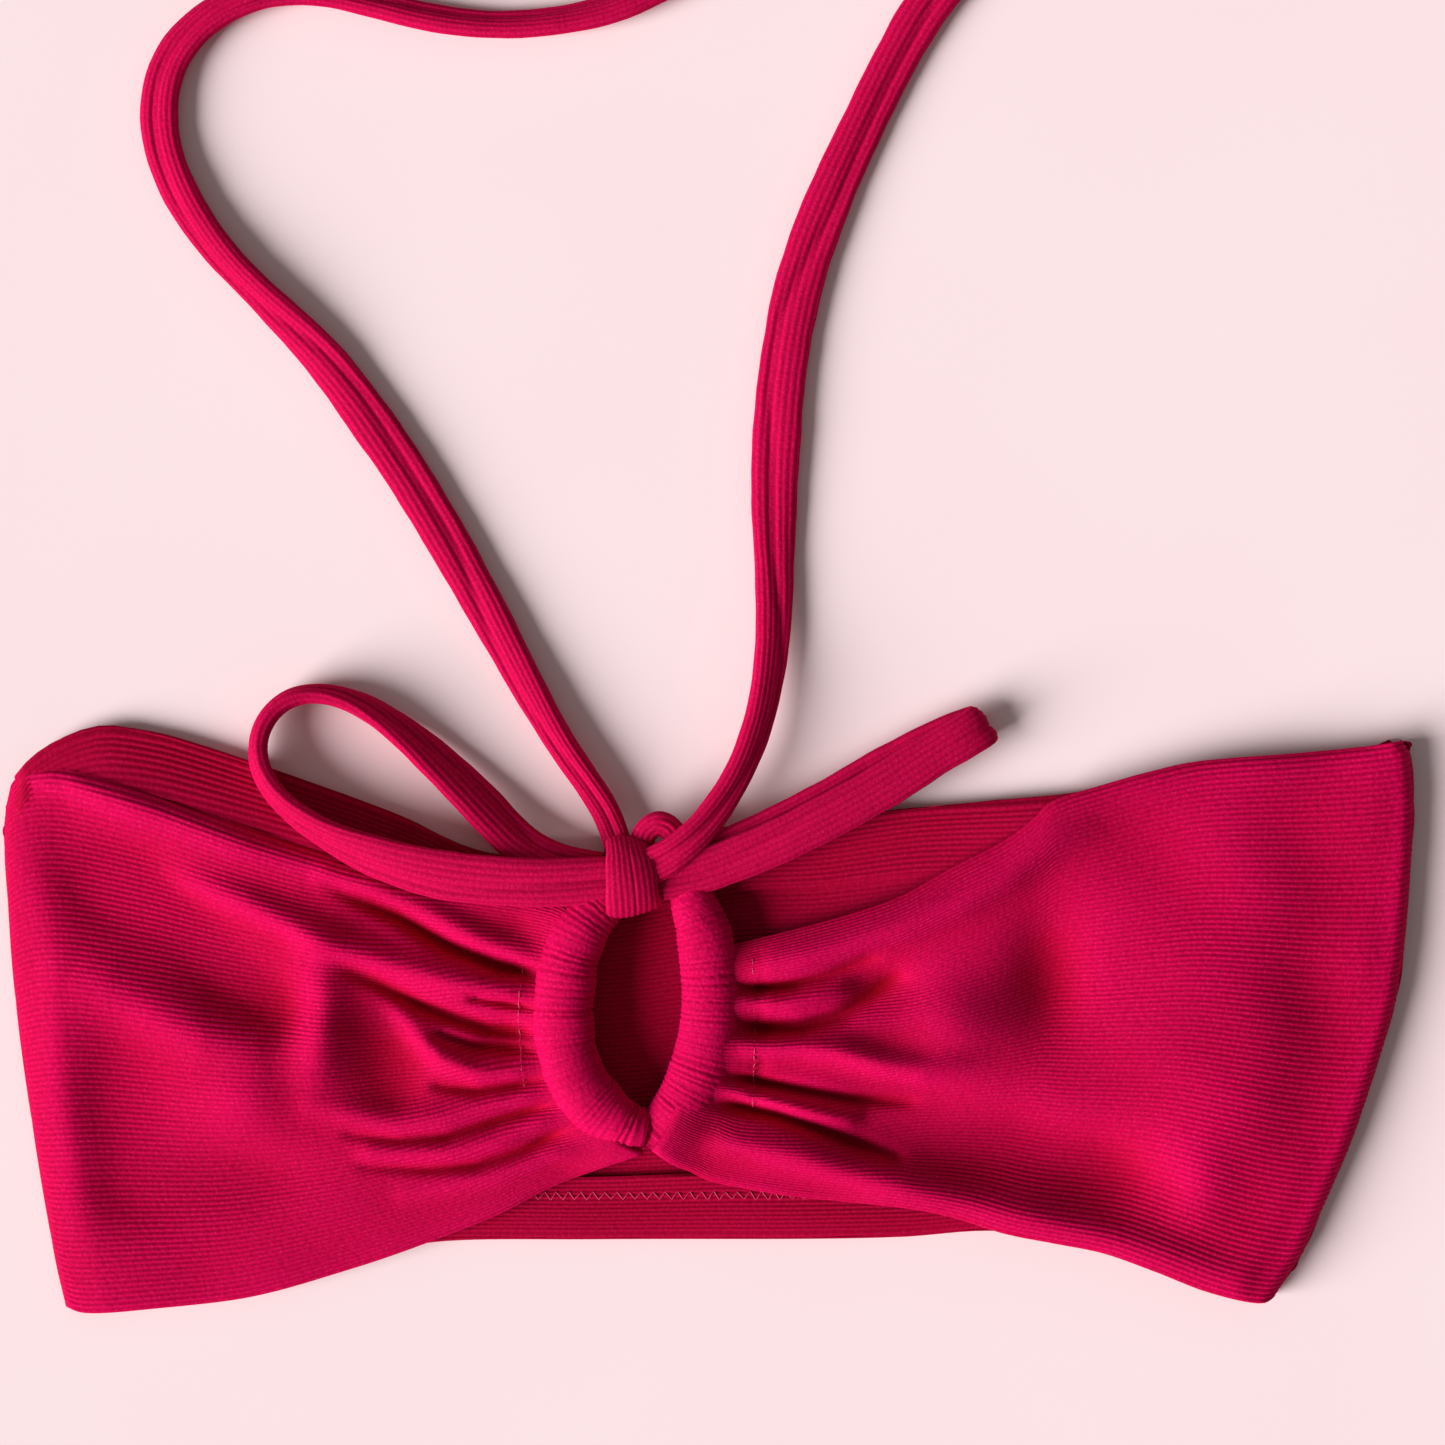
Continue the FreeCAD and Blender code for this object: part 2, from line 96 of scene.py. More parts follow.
def up_and_down(places):
    """How far each place of a grid lies from the lower edge, along its column, and from the upper one."""
    low = np.cumsum(np.linalg.norm(np.diff(places, axis=0, prepend=places[:1]), axis=2), axis=0)
    return low, low[-1:] - low


def evened(values, reach):
    """Values along a line, each averaged with those within reach of it."""
    kernel = np.ones(2 * reach + 1) / (2 * reach + 1)
    return np.convolve(np.pad(values, reach, "edge"), kernel, "valid")


def curve_through(points, count):
    """Evenly spaced places along a smooth line through given points."""
    knots = np.array(points, float)
    padded = np.vstack([2 * knots[0] - knots[1], knots, 2 * knots[-1] - knots[-2]])
    dense = []
    for at in range(len(knots) - 1):
        a, b, c, d = padded[at:at + 4]
        t = np.linspace(0, 1, 24, endpoint=False)[:, None]
        dense.append(
            0.5 * (2 * b + (c - a) * t + (2 * a - 5 * b + 4 * c - d) * t**2 + (3 * b - a - 3 * c + d) * t**3)
        )
    dense = np.vstack(dense + [knots[-1:]])
    steps = distances(dense)
    wanted = np.linspace(0, steps[-1], count)
    return np.column_stack([np.interp(wanted, steps, dense[:, axis]) for axis in range(dense.shape[1])])


def patch_between(bottom, top, start, end, shares, rows):
    """A grid of places filling four edge lines; rows run from bottom to top, columns lie at the shares."""
    low, high = (curve_through(line, 801)[np.round(shares * 800).astype(int)] for line in (bottom, top))
    near, far = curve_through(start, rows), curve_through(end, rows)
    v = np.linspace(0, 1, rows)[:, None, None]
    u = shares[None, :, None]
    ruled = (1 - v) * low[None] + v * high[None] + (1 - u) * near[:, None] + u * far[:, None]
    corners = (1 - u) * (1 - v) * low[0] + u * (1 - v) * low[-1] + (1 - u) * v * high[0] + u * v * high[-1]
    return ruled - corners


def nearest_on_line(x, y, line):
    """For each place, the distance to a line of points, the point's third value there, and its height."""
    best = np.full(x.shape, 1e9)
    value = np.zeros(x.shape)
    level = np.zeros(x.shape)
    for (x0, y0, a0), (x1, y1, a1) in zip(line[:-1], line[1:]):
        dx, dy = x1 - x0, y1 - y0
        t = np.clip(((x - x0) * dx + (y - y0) * dy) / (dx * dx + dy * dy), 0, 1)
        away = np.hypot(x - x0 - t * dx, y - y0 - t * dy)
        closer = away < best
        best = np.where(closer, away, best)
        value = np.where(closer, a0 + t * (a1 - a0), value)
        level = np.where(closer, y0 + t * dy, level)
    return best, value, level


def fold_height(x, y, folds):
    """The height that a list of crests and creases adds at each place."""
    total = np.zeros(x.shape)
    for line, width in folds:
        away, height, _ = nearest_on_line(x, y, line)
        total += height * np.exp(-((away / width) ** 2))
    return total


def hollow_height(x, y, hollows):
    """The height that broad round swells and hollows add: middle, half sizes, height."""
    total = np.zeros(x.shape)
    for across, up, wide, tall, height in hollows:
        total += height * np.exp(-(((x - across) / wide) ** 2 + ((y - up) / tall) ** 2))
    return total


# Creases no deeper or wider than these hide no cloth, in millimetres.
SHALLOW, BROAD = -1.2, 3


def crowd_rows(x, y, folds, reach, pull):
    """Draws the cloth's rows into its creases, where most of the gathered cloth is hidden."""
    shift = np.zeros(x.shape)
    for line, width in folds:
        depth = min(height for across, up, height in line)
        if depth > SHALLOW or width > BROAD:
            continue
        away, height, level = nearest_on_line(x, y, line)
        strength = np.clip(-height / 4, 0, 1) * pull
        shift += (level - y) * strength * np.exp(-((away / (reach * width)) ** 2))
    return y + shift


def grid_normals(places):
    """Unit normals of a grid of places, on the side that faces up."""
    along = np.gradient(places, axis=1)
    upward = np.gradient(places, axis=0)
    normal = np.cross(along, upward)
    normal /= np.linalg.norm(normal, axis=2, keepdims=True) + 1e-12
    return np.where(normal[..., 2:3] < 0, -normal, normal)


# ---------------------------------------------------------------- meshes


def linked(name, data):
    """A new object in the scene."""
    piece = bpy.data.objects.new(name, data)
    bpy.context.scene.collection.objects.link(piece)
    return piece


def make_mesh(name, places, faces, uv, rib, full, hollow):
    """An object with a mesh in millimetres, its cloth map, and three values at each place.

    They are its rib number, how full its ribs are, and how far it lies down in a dip of the cloth, which the
    knit's material darkens as painted shade.

    Places that meet, as along a tube's seam and at its ends, are merged.
    """
    mesh = bpy.data.meshes.new(name)
    places = np.asarray(places, float).reshape(-1, 3) * MM
    mesh.from_pydata(places.tolist(), [], np.asarray(faces).tolist())
    layer = mesh.uv_layers.new(name="cloth")
    corner = np.empty(len(mesh.loops), np.int32)
    mesh.loops.foreach_get("vertex_index", corner)
    layer.data.foreach_set("uv", (np.asarray(uv, float).reshape(-1, 2) * MM)[corner].ravel())
    for title, values in (("rib", rib), ("full", full), ("hollow", hollow)):
        attribute = mesh.attributes.new(title, "FLOAT", "POINT")
        attribute.data.foreach_set("value", np.asarray(values, float).ravel())
    cloth = bmesh.new()
    cloth.from_mesh(mesh)
    bmesh.ops.remove_doubles(cloth, verts=cloth.verts, dist=0.002 * MM)
    bmesh.ops.recalc_face_normals(cloth, faces=cloth.faces)
    cloth.to_mesh(mesh)
    cloth.free()
    return linked(name, mesh)


def grid_faces(rows, columns):
    """Quads of a grid, whose normals point up when rows go up and columns go right."""
    r, c = np.meshgrid(np.arange(rows - 1), np.arange(columns - 1), indexing="ij")
    first = r * columns + c
    return np.stack([first, first + 1, first + columns + 1, first + columns], axis=-1).reshape(-1, 4)


def closed_sheet(name, upper, lower, uv, rib, full_upper, full_lower, hollow):
    """A closed sheet between an upper and a lower grid, with a wall all round."""
    rows, columns = upper.shape[:2]
    top = grid_faces(rows, columns)
    bottom = grid_faces(rows, columns)[:, ::-1] + rows * columns
    rim = np.r_[
        np.arange(columns), np.arange(1, rows) * columns + columns - 1,
        (rows - 1) * columns + np.arange(columns - 2, -1, -1), np.arange(rows - 2, 0, -1) * columns,
    ]
    after = np.roll(rim, -1)
    wall = np.stack([after, rim, rim + rows * columns, after + rows * columns], axis=-1)
    faces = np.concatenate([top, bottom, wall])
    pairs = (uv, uv), (rib, rib), (full_upper, full_lower), (hollow, hollow)
    return make_mesh(name, np.stack([upper, lower]), faces, *(np.stack(pair) for pair in pairs))


def hollow_shade_mask(places, reach):
    """How far each place lies below the cloth round it, from 0 on crests to 1 in hollows, as a mask of
    painted shade for the knit's material.
    """
    level = places[..., 2]
    for axis, share in ((0, 0.11), (1, 0.13)):
        steps = int(places.shape[axis] * share)
        kernel = np.hanning(2 * steps + 1)
        kernel /= kernel.sum()
        level = np.apply_along_axis(
            lambda line: np.convolve(np.pad(line, steps, "edge"), kernel, "valid"), axis, level
        )
    return np.clip(0.22 + (level - places[..., 2]) / reach, 0, 1)


def layer_of(name, cloth, depth_top, depth_bottom, rib_top=0.0, rib_bottom=0.0, rows=None, inset=(0, 0)):
    """A closed layer of cloth, set in from a surface by two depths; cloth is its places, map and ribs.

    rows and inset leave out part of the surface: other rows, and that many columns at each side.
    """
    places, uv, rib = cloth
    normal = grid_normals(places)
    spacing = np.linalg.norm(np.gradient(places, axis=0), axis=2) / np.abs(np.gradient(rib, axis=0))
    along = np.linalg.norm(np.diff(places, axis=1, prepend=places[:, :1]), axis=2).cumsum(axis=1)
    from_ends = np.minimum(along, along[:, -1:] - along)
    full = np.clip(spacing / 1.3, 0.25, 1.1) * (0.1 + 0.9 * smooth(from_ends / 3.5))
    # Painted shade mask: how deep each place lies in a dip of the cloth.
    hollow = hollow_shade_mask(places, 4.5)
    part = (slice(None) if rows is None else rows, slice(inset[0], rib.shape[1] - inset[1]))
    upper = (places - normal * np.broadcast_to(depth_top, rib.shape)[..., None])[part]
    lower = (places - normal * np.broadcast_to(depth_bottom, rib.shape)[..., None])[part]
    fulls = (full * rib_top)[part], (full * rib_bottom)[part]
    return closed_sheet(name, upper, lower, uv[part], rib[part], *fulls, hollow[part])


def spline_places(route, fineness):
    """Places along the smooth NURBS line of a route, both in millimetres, as Blender evaluates it."""
    line = bpy.data.curves.new("line", "CURVE")
    line.dimensions = "3D"
    line.resolution_u = fineness
    spline = line.splines.new("NURBS")
    spline.points.add(len(route) - 1)
    for point, place in zip(spline.points, route):
        point.co = (*(np.array(place) * MM), 1)
    spline.order_u = 3
    spline.use_endpoint_u = True
    holder = bpy.data.objects.new("line", line)
    mesh = bpy.data.meshes.new_from_object(holder)
    places = np.array([tuple(vertex.co) for vertex in mesh.vertices]) / MM
    bpy.data.objects.remove(holder)
    bpy.data.curves.remove(line)
    bpy.data.meshes.remove(mesh)
    return places


def unit(vectors):
    """Vectors of length one."""
    return vectors / (np.linalg.norm(vectors, axis=-1, keepdims=True) + 1e-12)


def side_vectors(places, start):
    """Directions along and across a line of places: level, or carried from a start without twist."""
    ahead = unit(np.gradient(places, axis=0))
    if start is None:
        return ahead, unit(np.cross(ahead, [0.0, 0.0, 1.0]))
    across = np.zeros_like(ahead)
    across[0] = unit(np.array(start, float) - ahead[0] * np.dot(start, ahead[0]))
    for at in range(1, len(ahead)):
        across[at] = unit(across[at - 1] - ahead[at] * np.dot(across[at - 1], ahead[at]))
    return ahead, across


def rounded_ring(around, width_share, squareness):
    """A flattened ring's corners, evenly spaced along its edge, and their shares of it."""
    angle = np.linspace(0, 2 * math.pi, 1440)
    c, s = np.cos(angle - math.pi / 2), np.sin(angle - math.pi / 2)
    x = np.sign(c) * np.abs(c) ** squareness
    y = np.sign(s) * np.abs(s) ** squareness
    steps = np.r_[0, np.cumsum(np.hypot(np.diff(x) * width_share, np.diff(y)))]
    share = np.linspace(0, 1, around + 1)
    return np.interp(share * steps[-1], steps, x), np.interp(share * steps[-1], steps, y), share


def ribbon(
    name, places, shape, ribs, around=64, start=None, squareness=0.8, lumps=0.0, seed=5, closed=False,
    groove=0.0,
):
    """A flattened tube of ribbed cloth along a line of places, in millimetres.

    Rows of shape give the share of the length, the width, the thickness and the roll in degrees.
    A groove sinks the upper face along a line that wanders from side to side.
    """
    count = len(places)
    steps = distances(places)
    shape = np.array(shape, float)
    share = steps / steps[-1]
    width, thick, roll = (np.interp(share, shape[:, 0], shape[:, at]) for at in (1, 2, 3))
    width, thick, roll = (evened(values, 3) for values in (width, thick, roll))
    ahead, across = side_vectors(places, start)
    lift = np.cross(across, ahead)
    turn = np.radians(roll)[:, None]
    across, lift = across * np.cos(turn) + lift * np.sin(turn), lift * np.cos(turn) - across * np.sin(turn)
    x, y, part = rounded_ring(around, float(np.mean(width / thick)), squareness)
    rough = 1 + lumps * wobble(steps[:, None] / 2.6, part[None] * 14, seed)
    aside = width[:, None, None] / 2 * x[None, :, None] * rough[..., None]
    above = thick[:, None, None] / 2 * y[None, :, None] * rough[..., None]
    ring = places[:, None] + across[:, None] * aside + lift[:, None] * above
    middle = 0.42 * np.sin(steps / 23 + seed) + 0.16 * np.sin(steps / 9.5 + 2 * seed)
    sunk = groove * np.exp(-(((x[None] - middle[:, None]) / 0.26) ** 2)) * np.clip(y, 0, 1)[None]
    ring = ring - lift[:, None] * sunk[..., None]
    ring[..., 2] += np.maximum(0, 0.05 - ring[..., 2].min(axis=1))[:, None]
    edge = 2 * (width + thick) * 0.9
    u, v = np.meshgrid(steps, part, indexing="ij")
    uv = np.stack([u, v * edge[:, None]], axis=-1)
    rib = np.broadcast_to(part * ribs, (count, around + 1))
    full = np.ones((count, around + 1))
    if not closed:
        ends = [np.repeat(places[[at]][:, None], around + 1, axis=1) for at in (0, -1)]
        ring = np.concatenate([ends[0], ring, ends[1]])
        uv = np.concatenate([uv[:1], uv, uv[-1:]])
        rib = np.concatenate([rib[:1], rib, rib[-1:]])
        full = np.concatenate([full[:1] * 0, full, full[-1:] * 0])
    faces = grid_faces(*ring.shape[:2])
    return make_mesh(name, ring, faces, uv, rib, full, np.zeros(full.shape))


def finish(piece, node):
    """Files a piece: it rides on the one body and stands for its CAD node."""
    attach(piece, "root")
    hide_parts(node)


# ---------------------------------------------------------------- materials


def add_node(tree, kind, values=None, links=None, **settings):
    """Adds a node with its settings, its plain input values and its links."""
    node = tree.nodes.new(kind)
    for name, value in settings.items():
        setattr(node, name, value)
    for socket, value in (values or {}).items():
        node.inputs[socket].default_value = value
    for socket, source in (links or {}).items():
        tree.links.new(source, node.inputs[socket])
    return node


def maths(tree, operation, first, second=None, **settings):
    """A maths node of two inputs, each an output to link or a plain number; gives its output."""
    node = tree.nodes.new("ShaderNodeMath")
    node.operation = operation
    for name, value in settings.items():
        setattr(node, name, value)
    for socket, given in zip(node.inputs, (first, second)):
        if isinstance(given, bpy.types.NodeSocket):
            tree.links.new(given, socket)
        elif given is not None:
            socket.default_value = given
    return node.outputs[0]


def crown_of(tree, rib):
    """A rib's height share, from 0 in the gaps to 1 on the top, out of its running number."""
    return maths(tree, "ABSOLUTE", maths(tree, "SINE", maths(tree, "MULTIPLY", rib, math.pi)))


def mapped(tree, value, low, high, to_low, to_high):
    """A value moved from one range to another."""
    ranges = {"From Min": low, "From Max": high, "To Min": to_low, "To Max": to_high}
    return add_node(tree, "ShaderNodeMapRange", ranges, {"Value": value}).outputs["Result"]


def mixed(tree, factor, first, second, **settings):
    """A mix of two colours, each a hex code, a plain colour or an output to link; gives its output."""
    node = add_node(tree, "ShaderNodeMix", links={"Factor": factor}, data_type="RGBA", **settings)
    for name, given in (("A", first), ("B", second)):
        if isinstance(given, bpy.types.NodeSocket):
            tree.links.new(given, node.inputs[name])
        else:
            node.inputs[name].default_value = (*linear(given), 1) if isinstance(given, str) else given
    return node.outputs["Result"]


def shaded(tree, colour, values, normal=None):
    """The material's one shader, from its colour, its plain values and its relief."""
    links = {"Base Color": colour}
    if normal:
        links["Normal"] = normal
    shader = add_node(tree, "ShaderNodeBsdfPrincipled", values, links)
    add_node(tree, "ShaderNodeOutputMaterial", links={"Surface": shader.outputs["BSDF"]})


def new_material(name):
    """An empty material with its output, ready for nodes."""
    material = bpy.data.materials.new(name)
    material.use_nodes = True
    material.node_tree.nodes.clear()
    return material, material.node_tree


def knitted(name, lit, deep, glint_colour, stitch, course, gap_shade, sheen, bump):
    """Stretch knit: soft broad highlight, painted highlight glints on the rib tops, painted shade in the gaps
    and painted redder shade in the hollows.

    stitch and course are the loop's length along a rib and across it, in millimetres.
    """
    material, tree = new_material(name)
    place = add_node(tree, "ShaderNodeUVMap", uv_map="cloth")
    loops = add_node(
        tree, "ShaderNodeMapping", {"Scale": (1 / (stitch * MM), 1 / (course * MM), 1)},
        {"Vector": place.outputs["UV"]},
    ).outputs["Vector"]
    cells = add_node(
        tree, "ShaderNodeTexVoronoi", {"Scale": 1.0, "Randomness": 0.75}, {"Vector": loops},
        voronoi_dimensions="2D", feature="F1",
    )
    fibres, patches = (
        add_node(
            tree, "ShaderNodeTexNoise", {"Scale": scale, "Detail": detail}, {"Vector": loops},
            noise_dimensions="2D",
        ).outputs["Fac"]
        for scale, detail in ((2.3, 2.0), (0.035, 1.0))
    )
    # Loop texture: the relief for the bump, and painted shade at the edges of the loop cells.
    loop_grain_and_shade = add_node(
        tree, "ShaderNodeMix", {"Factor": 0.35}, {"A": cells.outputs["Distance"], "B": fibres},
        data_type="FLOAT",
    ).outputs["Result"]
    rib, hollow = (
        add_node(tree, "ShaderNodeAttribute", attribute_name=title, attribute_type="GEOMETRY").outputs["Fac"]
        for title in ("rib", "hollow")
    )
    crown = crown_of(tree, rib)
    # Painted shade: the colour runs from the lit tops of the ribs to the deep colour in their gaps.
    painted_gap_shade = mapped(tree, crown, 0.0, 0.7, gap_shade, 0.0)
    shade = maths(tree, "ADD", mapped(tree, loop_grain_and_shade, 0.2, 0.75, 0.0, 0.35), painted_gap_shade)
    uneven = mapped(tree, patches, 0.3, 0.7, -0.08, 0.08)
    colour = mixed(tree, maths(tree, "ADD", shade, uneven, use_clamp=True), lit, deep)
    # Painted highlight: pale glints along the rib tops, where the fibre noise is high.
    glint_mask = maths(tree, "MULTIPLY", mapped(tree, fibres, 0.5, 0.72, 0.0, 0.34), crown)
    with_glints = mixed(tree, glint_mask, colour, glint_colour)
    # Painted shade: a deep red is multiplied in by how far the cloth lies down in a dip of its folds.
    with_painted_shade = mixed(tree, hollow, with_glints, (0.68, 0.35, 0.22, 1), blend_type="MULTIPLY")
    relief = add_node(
        tree, "ShaderNodeBump", {"Strength": bump, "Distance": 0.25 * MM}, {"Height": loop_grain_and_shade}, invert=True
    )
    look = {
        "Roughness": 0.78, "IOR": 1.5, "Specular IOR Level": 0.03, "Sheen Weight": sheen,
        "Sheen Roughness": 0.5, "Sheen Tint": (*linear("#FF1478"), 1),
    }
    shaded(tree, with_painted_shade, look, relief.outputs["Normal"])
    return material


def object_waves(tree, size, direction, values):
    """Soft parallel waves of a size in millimetres, in object space."""
    place = add_node(tree, "ShaderNodeTexCoord").outputs["Object"]
    return add_node(
        tree, "ShaderNodeTexWave", {"Scale": 1 / (size * MM), **values}, {"Vector": place},
        bands_direction=direction,
    ).outputs["Fac"]


def rubber_tape(name, pale, dark):
    """Woven rubber elastic: matt, off-white, with fine lengthwise cords of rubber in object space."""
    material, tree = new_material(name)
    cords = object_waves(tree, 6.3, "Y", {"Distortion": 0.6, "Detail": 1.0})
    relief = add_node(tree, "ShaderNodeBump", {"Strength": 0.4, "Distance": 0.2 * MM}, {"Height": cords})
    look = {"Roughness": 0.8, "IOR": 1.52, "Specular IOR Level": 0.3}
    shaded(tree, mixed(tree, cords, pale, dark), look, relief.outputs["Normal"])
    return material


def spun_thread(name, pale, dark):
    """Textured polyester thread: a slight gloss and a fine twist, in object space."""
    material, tree = new_material(name)
    twist = object_waves(tree, 1.2, "DIAGONAL", {"Distortion": 1.5})
    look = {"Roughness": 0.5, "IOR": 1.55, "Specular IOR Level": 0.4}
    shaded(tree, mixed(tree, twist, pale, dark), look)
    return material


def matt_paper(name, ground, speck):
    """Matt background paper: pale pink with the faintest mottling."""
    material, tree = new_material(name)
    place = add_node(tree, "ShaderNodeTexCoord").outputs["Object"]
    mottle = add_node(tree, "ShaderNodeTexNoise", {"Scale": 9.0, "Detail": 2.0}, {"Vector": place})
    colour = mixed(tree, mottle.outputs["Fac"], ground, speck)
    shaded(tree, colour, {"Roughness": 0.9, "Specular IOR Level": 0.1})
    return material


def material_named(name):
    """A finish by name, made the first time that a piece asks for it."""
    if name in bpy.data.materials:
        return bpy.data.materials[name]
    tones = bpy.context.scene.halter_colours
    # deep is the painted shade colour for the knit's gaps.
    lit, deep, shade = (hex_of(tones.cloth), hex_of(tones.cloth_gap_shade), hex_of(tones.inside))
    strap = hex_of(tones.strap)
    makers = {
        # Each knit's third colour is a painted highlight glint on its rib tops.
        "polyamide_rib_knit": lambda: knitted(name, lit, deep, "#F42C74", 1.5, 1.43, 0.26, 0.1, 0.5),
        "polyamide_strap_knit": lambda: knitted(name, strap, deep, "#E42C6C", 1.2, 1.4, 0.3, 0.12, 0.4),
        # The inner knit is the same cloth in a darker colour, as painted shade.
        "polyamide_inner_knit": lambda: knitted(name, shade, deep, "#C82458", 1.5, 1.43, 0.3, 0.05, 0.4),
        "braided_rubber_elastic": lambda: rubber_tape(name, "#E4DED2", "#C9C0B0"),
        "polyester_thread": lambda: spun_thread(name, hex_of(tones.thread), lit),
        "background_paper": lambda: matt_paper(name, hex_of(tones.floor), "#F9E0E3"),
    }
    return makers[name]()


def hex_of(colour):
    """A colour property, kept as sRGB, as a hex code."""
    return "#" + "".join(f"{round(channel * 255):02X}" for channel in colour[:3])


# ---------------------------------------------------------------- cloth


# Edge lines of the laid garment in millimetres, listed: across, up.
BACK_BOTTOM = [
    (-160.5, -71.5), (-154.5, -73), (-139.5, -72), (-114.5, -69), (-89.5, -62), (-69.5, -55.4),
    (-27, -54.6), (23, -54.5), (48, -54), (73, -52.6), (98, -57.5), (123, -67), (135.5, -70),
    (141, -69),
]
BACK_TOP = [
    (-174.5, 57.5), (-164.5, 67.5), (-152, 73), (-139.5, 72), (-127, 68.6), (-102, 60), (-77, 50.4),
    (-54.5, 41.2), (-27, 41), (4, 47.5), (27, 49), (50.5, 52), (81.5, 53.5), (98, 56.6), (123, 62),
    (148, 64.5), (163, 65.8), (173, 68.6),
]
LEFT_FOLD = [
    (-160.5, -71.5), (-164, -55), (-169, -25), (-173, 5), (-175, 30), (-175.8, 43), (-175.6, 51),
    (-174.5, 57.5),
]
RIGHT_FOLD = [
    (141, -69), (148.5, -57.5), (154, -45), (159.5, -32.5), (164, -20), (168, -7.5), (171.5, 5),
    (173.5, 17.5), (175.5, 42.5), (176, 55), (175, 67), (173, 70),
]
LEFT_FRONT_BOTTOM = [
    (-160.5, -71.5), (-154.5, -73), (-139.5, -72), (-114.5, -69), (-89.5, -62), (-69.5, -55),
    (-52, -48), (-39.5, -41.5), (-27, -36.5), (-16, -32.5),
]
LEFT_FRONT_TOP = [
    (-174.5, 57.5), (-172.4, 60.6), (-167.5, 63), (-158.5, 63), (-139.5, 58), (-127, 53.5), (-112, 48),
    (-94.5, 42.5), (-77, 38.5), (-57, 35), (-38, 31), (-31.5, 27),
]
LEFT_GATHER = [
    (-16, -32.5), (-22.5, -29), (-29, -23), (-33.5, -15), (-36, -5), (-36.2, 5), (-35, 14),
    (-33.5, 20.5), (-31.5, 27),
]
RIGHT_FRONT_BOTTOM = [
    (-14, -31.5), (-9, -35), (-4.5, -37), (0.5, -39.5), (10.5, -41.5), (23, -43.5), (48, -46),
    (60.5, -48.5), (73, -52.5), (85.5, -55), (98, -57.5), (110.5, -62), (123, -67), (135.5, -70),
    (141, -69),
]
RIGHT_FRONT_TOP = [
    (-2.5, 18), (3, 18.6), (9, 20), (23, 23.5), (35.5, 27), (48, 31.5), (60.5, 38.5), (73, 45),
    (80.5, 50.5), (85.5, 55), (98, 59), (110.5, 62.5), (123, 65), (148, 67), (163, 68.5), (173, 70),
]
RIGHT_GATHER = [
    (-14, -31.5), (-10.5, -26.5), (-7, -19.5), (-3.5, -10), (-2.3, 0), (-2.2, 9), (-2.5, 18),
]

# Crests and creases of the left front: points of across, up and height, then the fold's half width.
LEFT_FOLDS = [
    ([(-169.5, 60.5, 0.8), (-158.5, 60, 2.6), (-139.5, 53.5, 3), (-127, 49, 3), (-112, 43.5, 2.6),
      (-94.5, 38, 1.8), (-77, 34, 1.2), (-59.5, 30.5, 1), (-42, 28, 1)], 4),
    ([(-94.5, 36, 1.5), (-82, 33, 3), (-69.5, 27.5, 3.2), (-57, 21, 3.2), (-42, 15.5, 2.4)], 3.2),
    ([(-97, 35.5, 0), (-89.5, 31.5, -2), (-77, 26, -4.4), (-64.5, 18.5, -6), (-52, 13.5, -6.6),
      (-38, 11, -6.4)], 1.9),
    ([(-140, 38, 0.6), (-129.5, 35, 2), (-114.5, 29.5, 3.6), (-102, 23.5, 4.2), (-89.5, 18, 4.2),
      (-77, 14, 4), (-64.5, 10.5, 4.4), (-52, 8, 4.4), (-40, 6.5, 3)], 4.2),
    ([(-91, 14, -0.6), (-82, 9.5, -2.6), (-72, 4, -4.8), (-64.5, 1.2, -5.6), (-54.5, -2, -5.8),
      (-40, -3.5, -5.4)], 1.9),
    ([(-58, 6, -2.4), (-40, 3, -4)], 1.2),
    ([(-77, 3, 1), (-72, -3.5, 3), (-66, -9, 4), (-57, -12.2, 4), (-48.5, -12, 3.6), (-39, -10, 3)], 3),
    ([(-66.5, -3.5, -2.4), (-58.5, -6, -3.6), (-40, -7, -3.6)], 1.6),
    ([(-67, -16, -1.6), (-57, -17.2, -2.6), (-47, -15.5, -4), (-37, -12.5, -4)], 1.5),
    ([(-98, -21, 1), (-77, -25, 2.6), (-64.5, -23.5, 3.2), (-52, -19.5, 3.6), (-38, -16.5, 3)], 3.6),
    ([(-89, -28, -0.9), (-77, -29.5, -2), (-64.5, -28.5, -3), (-52, -24.5, -4), (-35, -19, -4)], 1.4),
    ([(-84, -32.5, 1.2), (-64.5, -32, 2.4), (-52, -29, 3), (-35, -22, 3)], 2.6),
    ([(-85.5, -36, -0.8), (-69.5, -36.6, -1.9), (-57, -35.6, -3), (-44.5, -31.5, -3.6),
      (-30, -24, -3.4)], 1.4),
    ([(-74.5, -42.5, 0.8), (-52, -37.5, 2), (-39.5, -33, 2.4), (-24, -29, 2)], 2.8),
    ([(-154, 56, 1), (-142, 50, 2), (-130, 45, 2.4), (-117, 41, 2), (-104, 36, 1)], 6),
    ([(-167, 42, 0.4), (-163, 12, 1.4), (-160, -18, 2.2), (-156, -44, 1.8), (-152, -64, 0.6)], 13),
    ([(-158, 13, 1), (-150, 9.5, 2.6), (-138, 3, 4), (-125, -3, 4.6), (-112, -5, 4), (-100, -4, 3)], 8),
    ([(-98, 16, 2.6), (-95.5, 8, 4.4), (-95, -3, 4), (-97, -12, 2.4)], 6.5),
    ([(-158, 42, -1.6), (-143, 34, -4), (-130, 24, -4.8), (-118, 12, -4.8), (-106, 1, -4)], 8.5),
]
LEFT_HOLLOWS = [
    (-147, 33, 13, 10, -3.6), (-146, -20, 12, 15, -3.6), (-139, -42, 16, 9, -3.2),
    (-78, -13, 8.5, 11, -4.6), (-115, -17, 12, 9, 3.4), (-116, -38, 17, 7, -3),
]
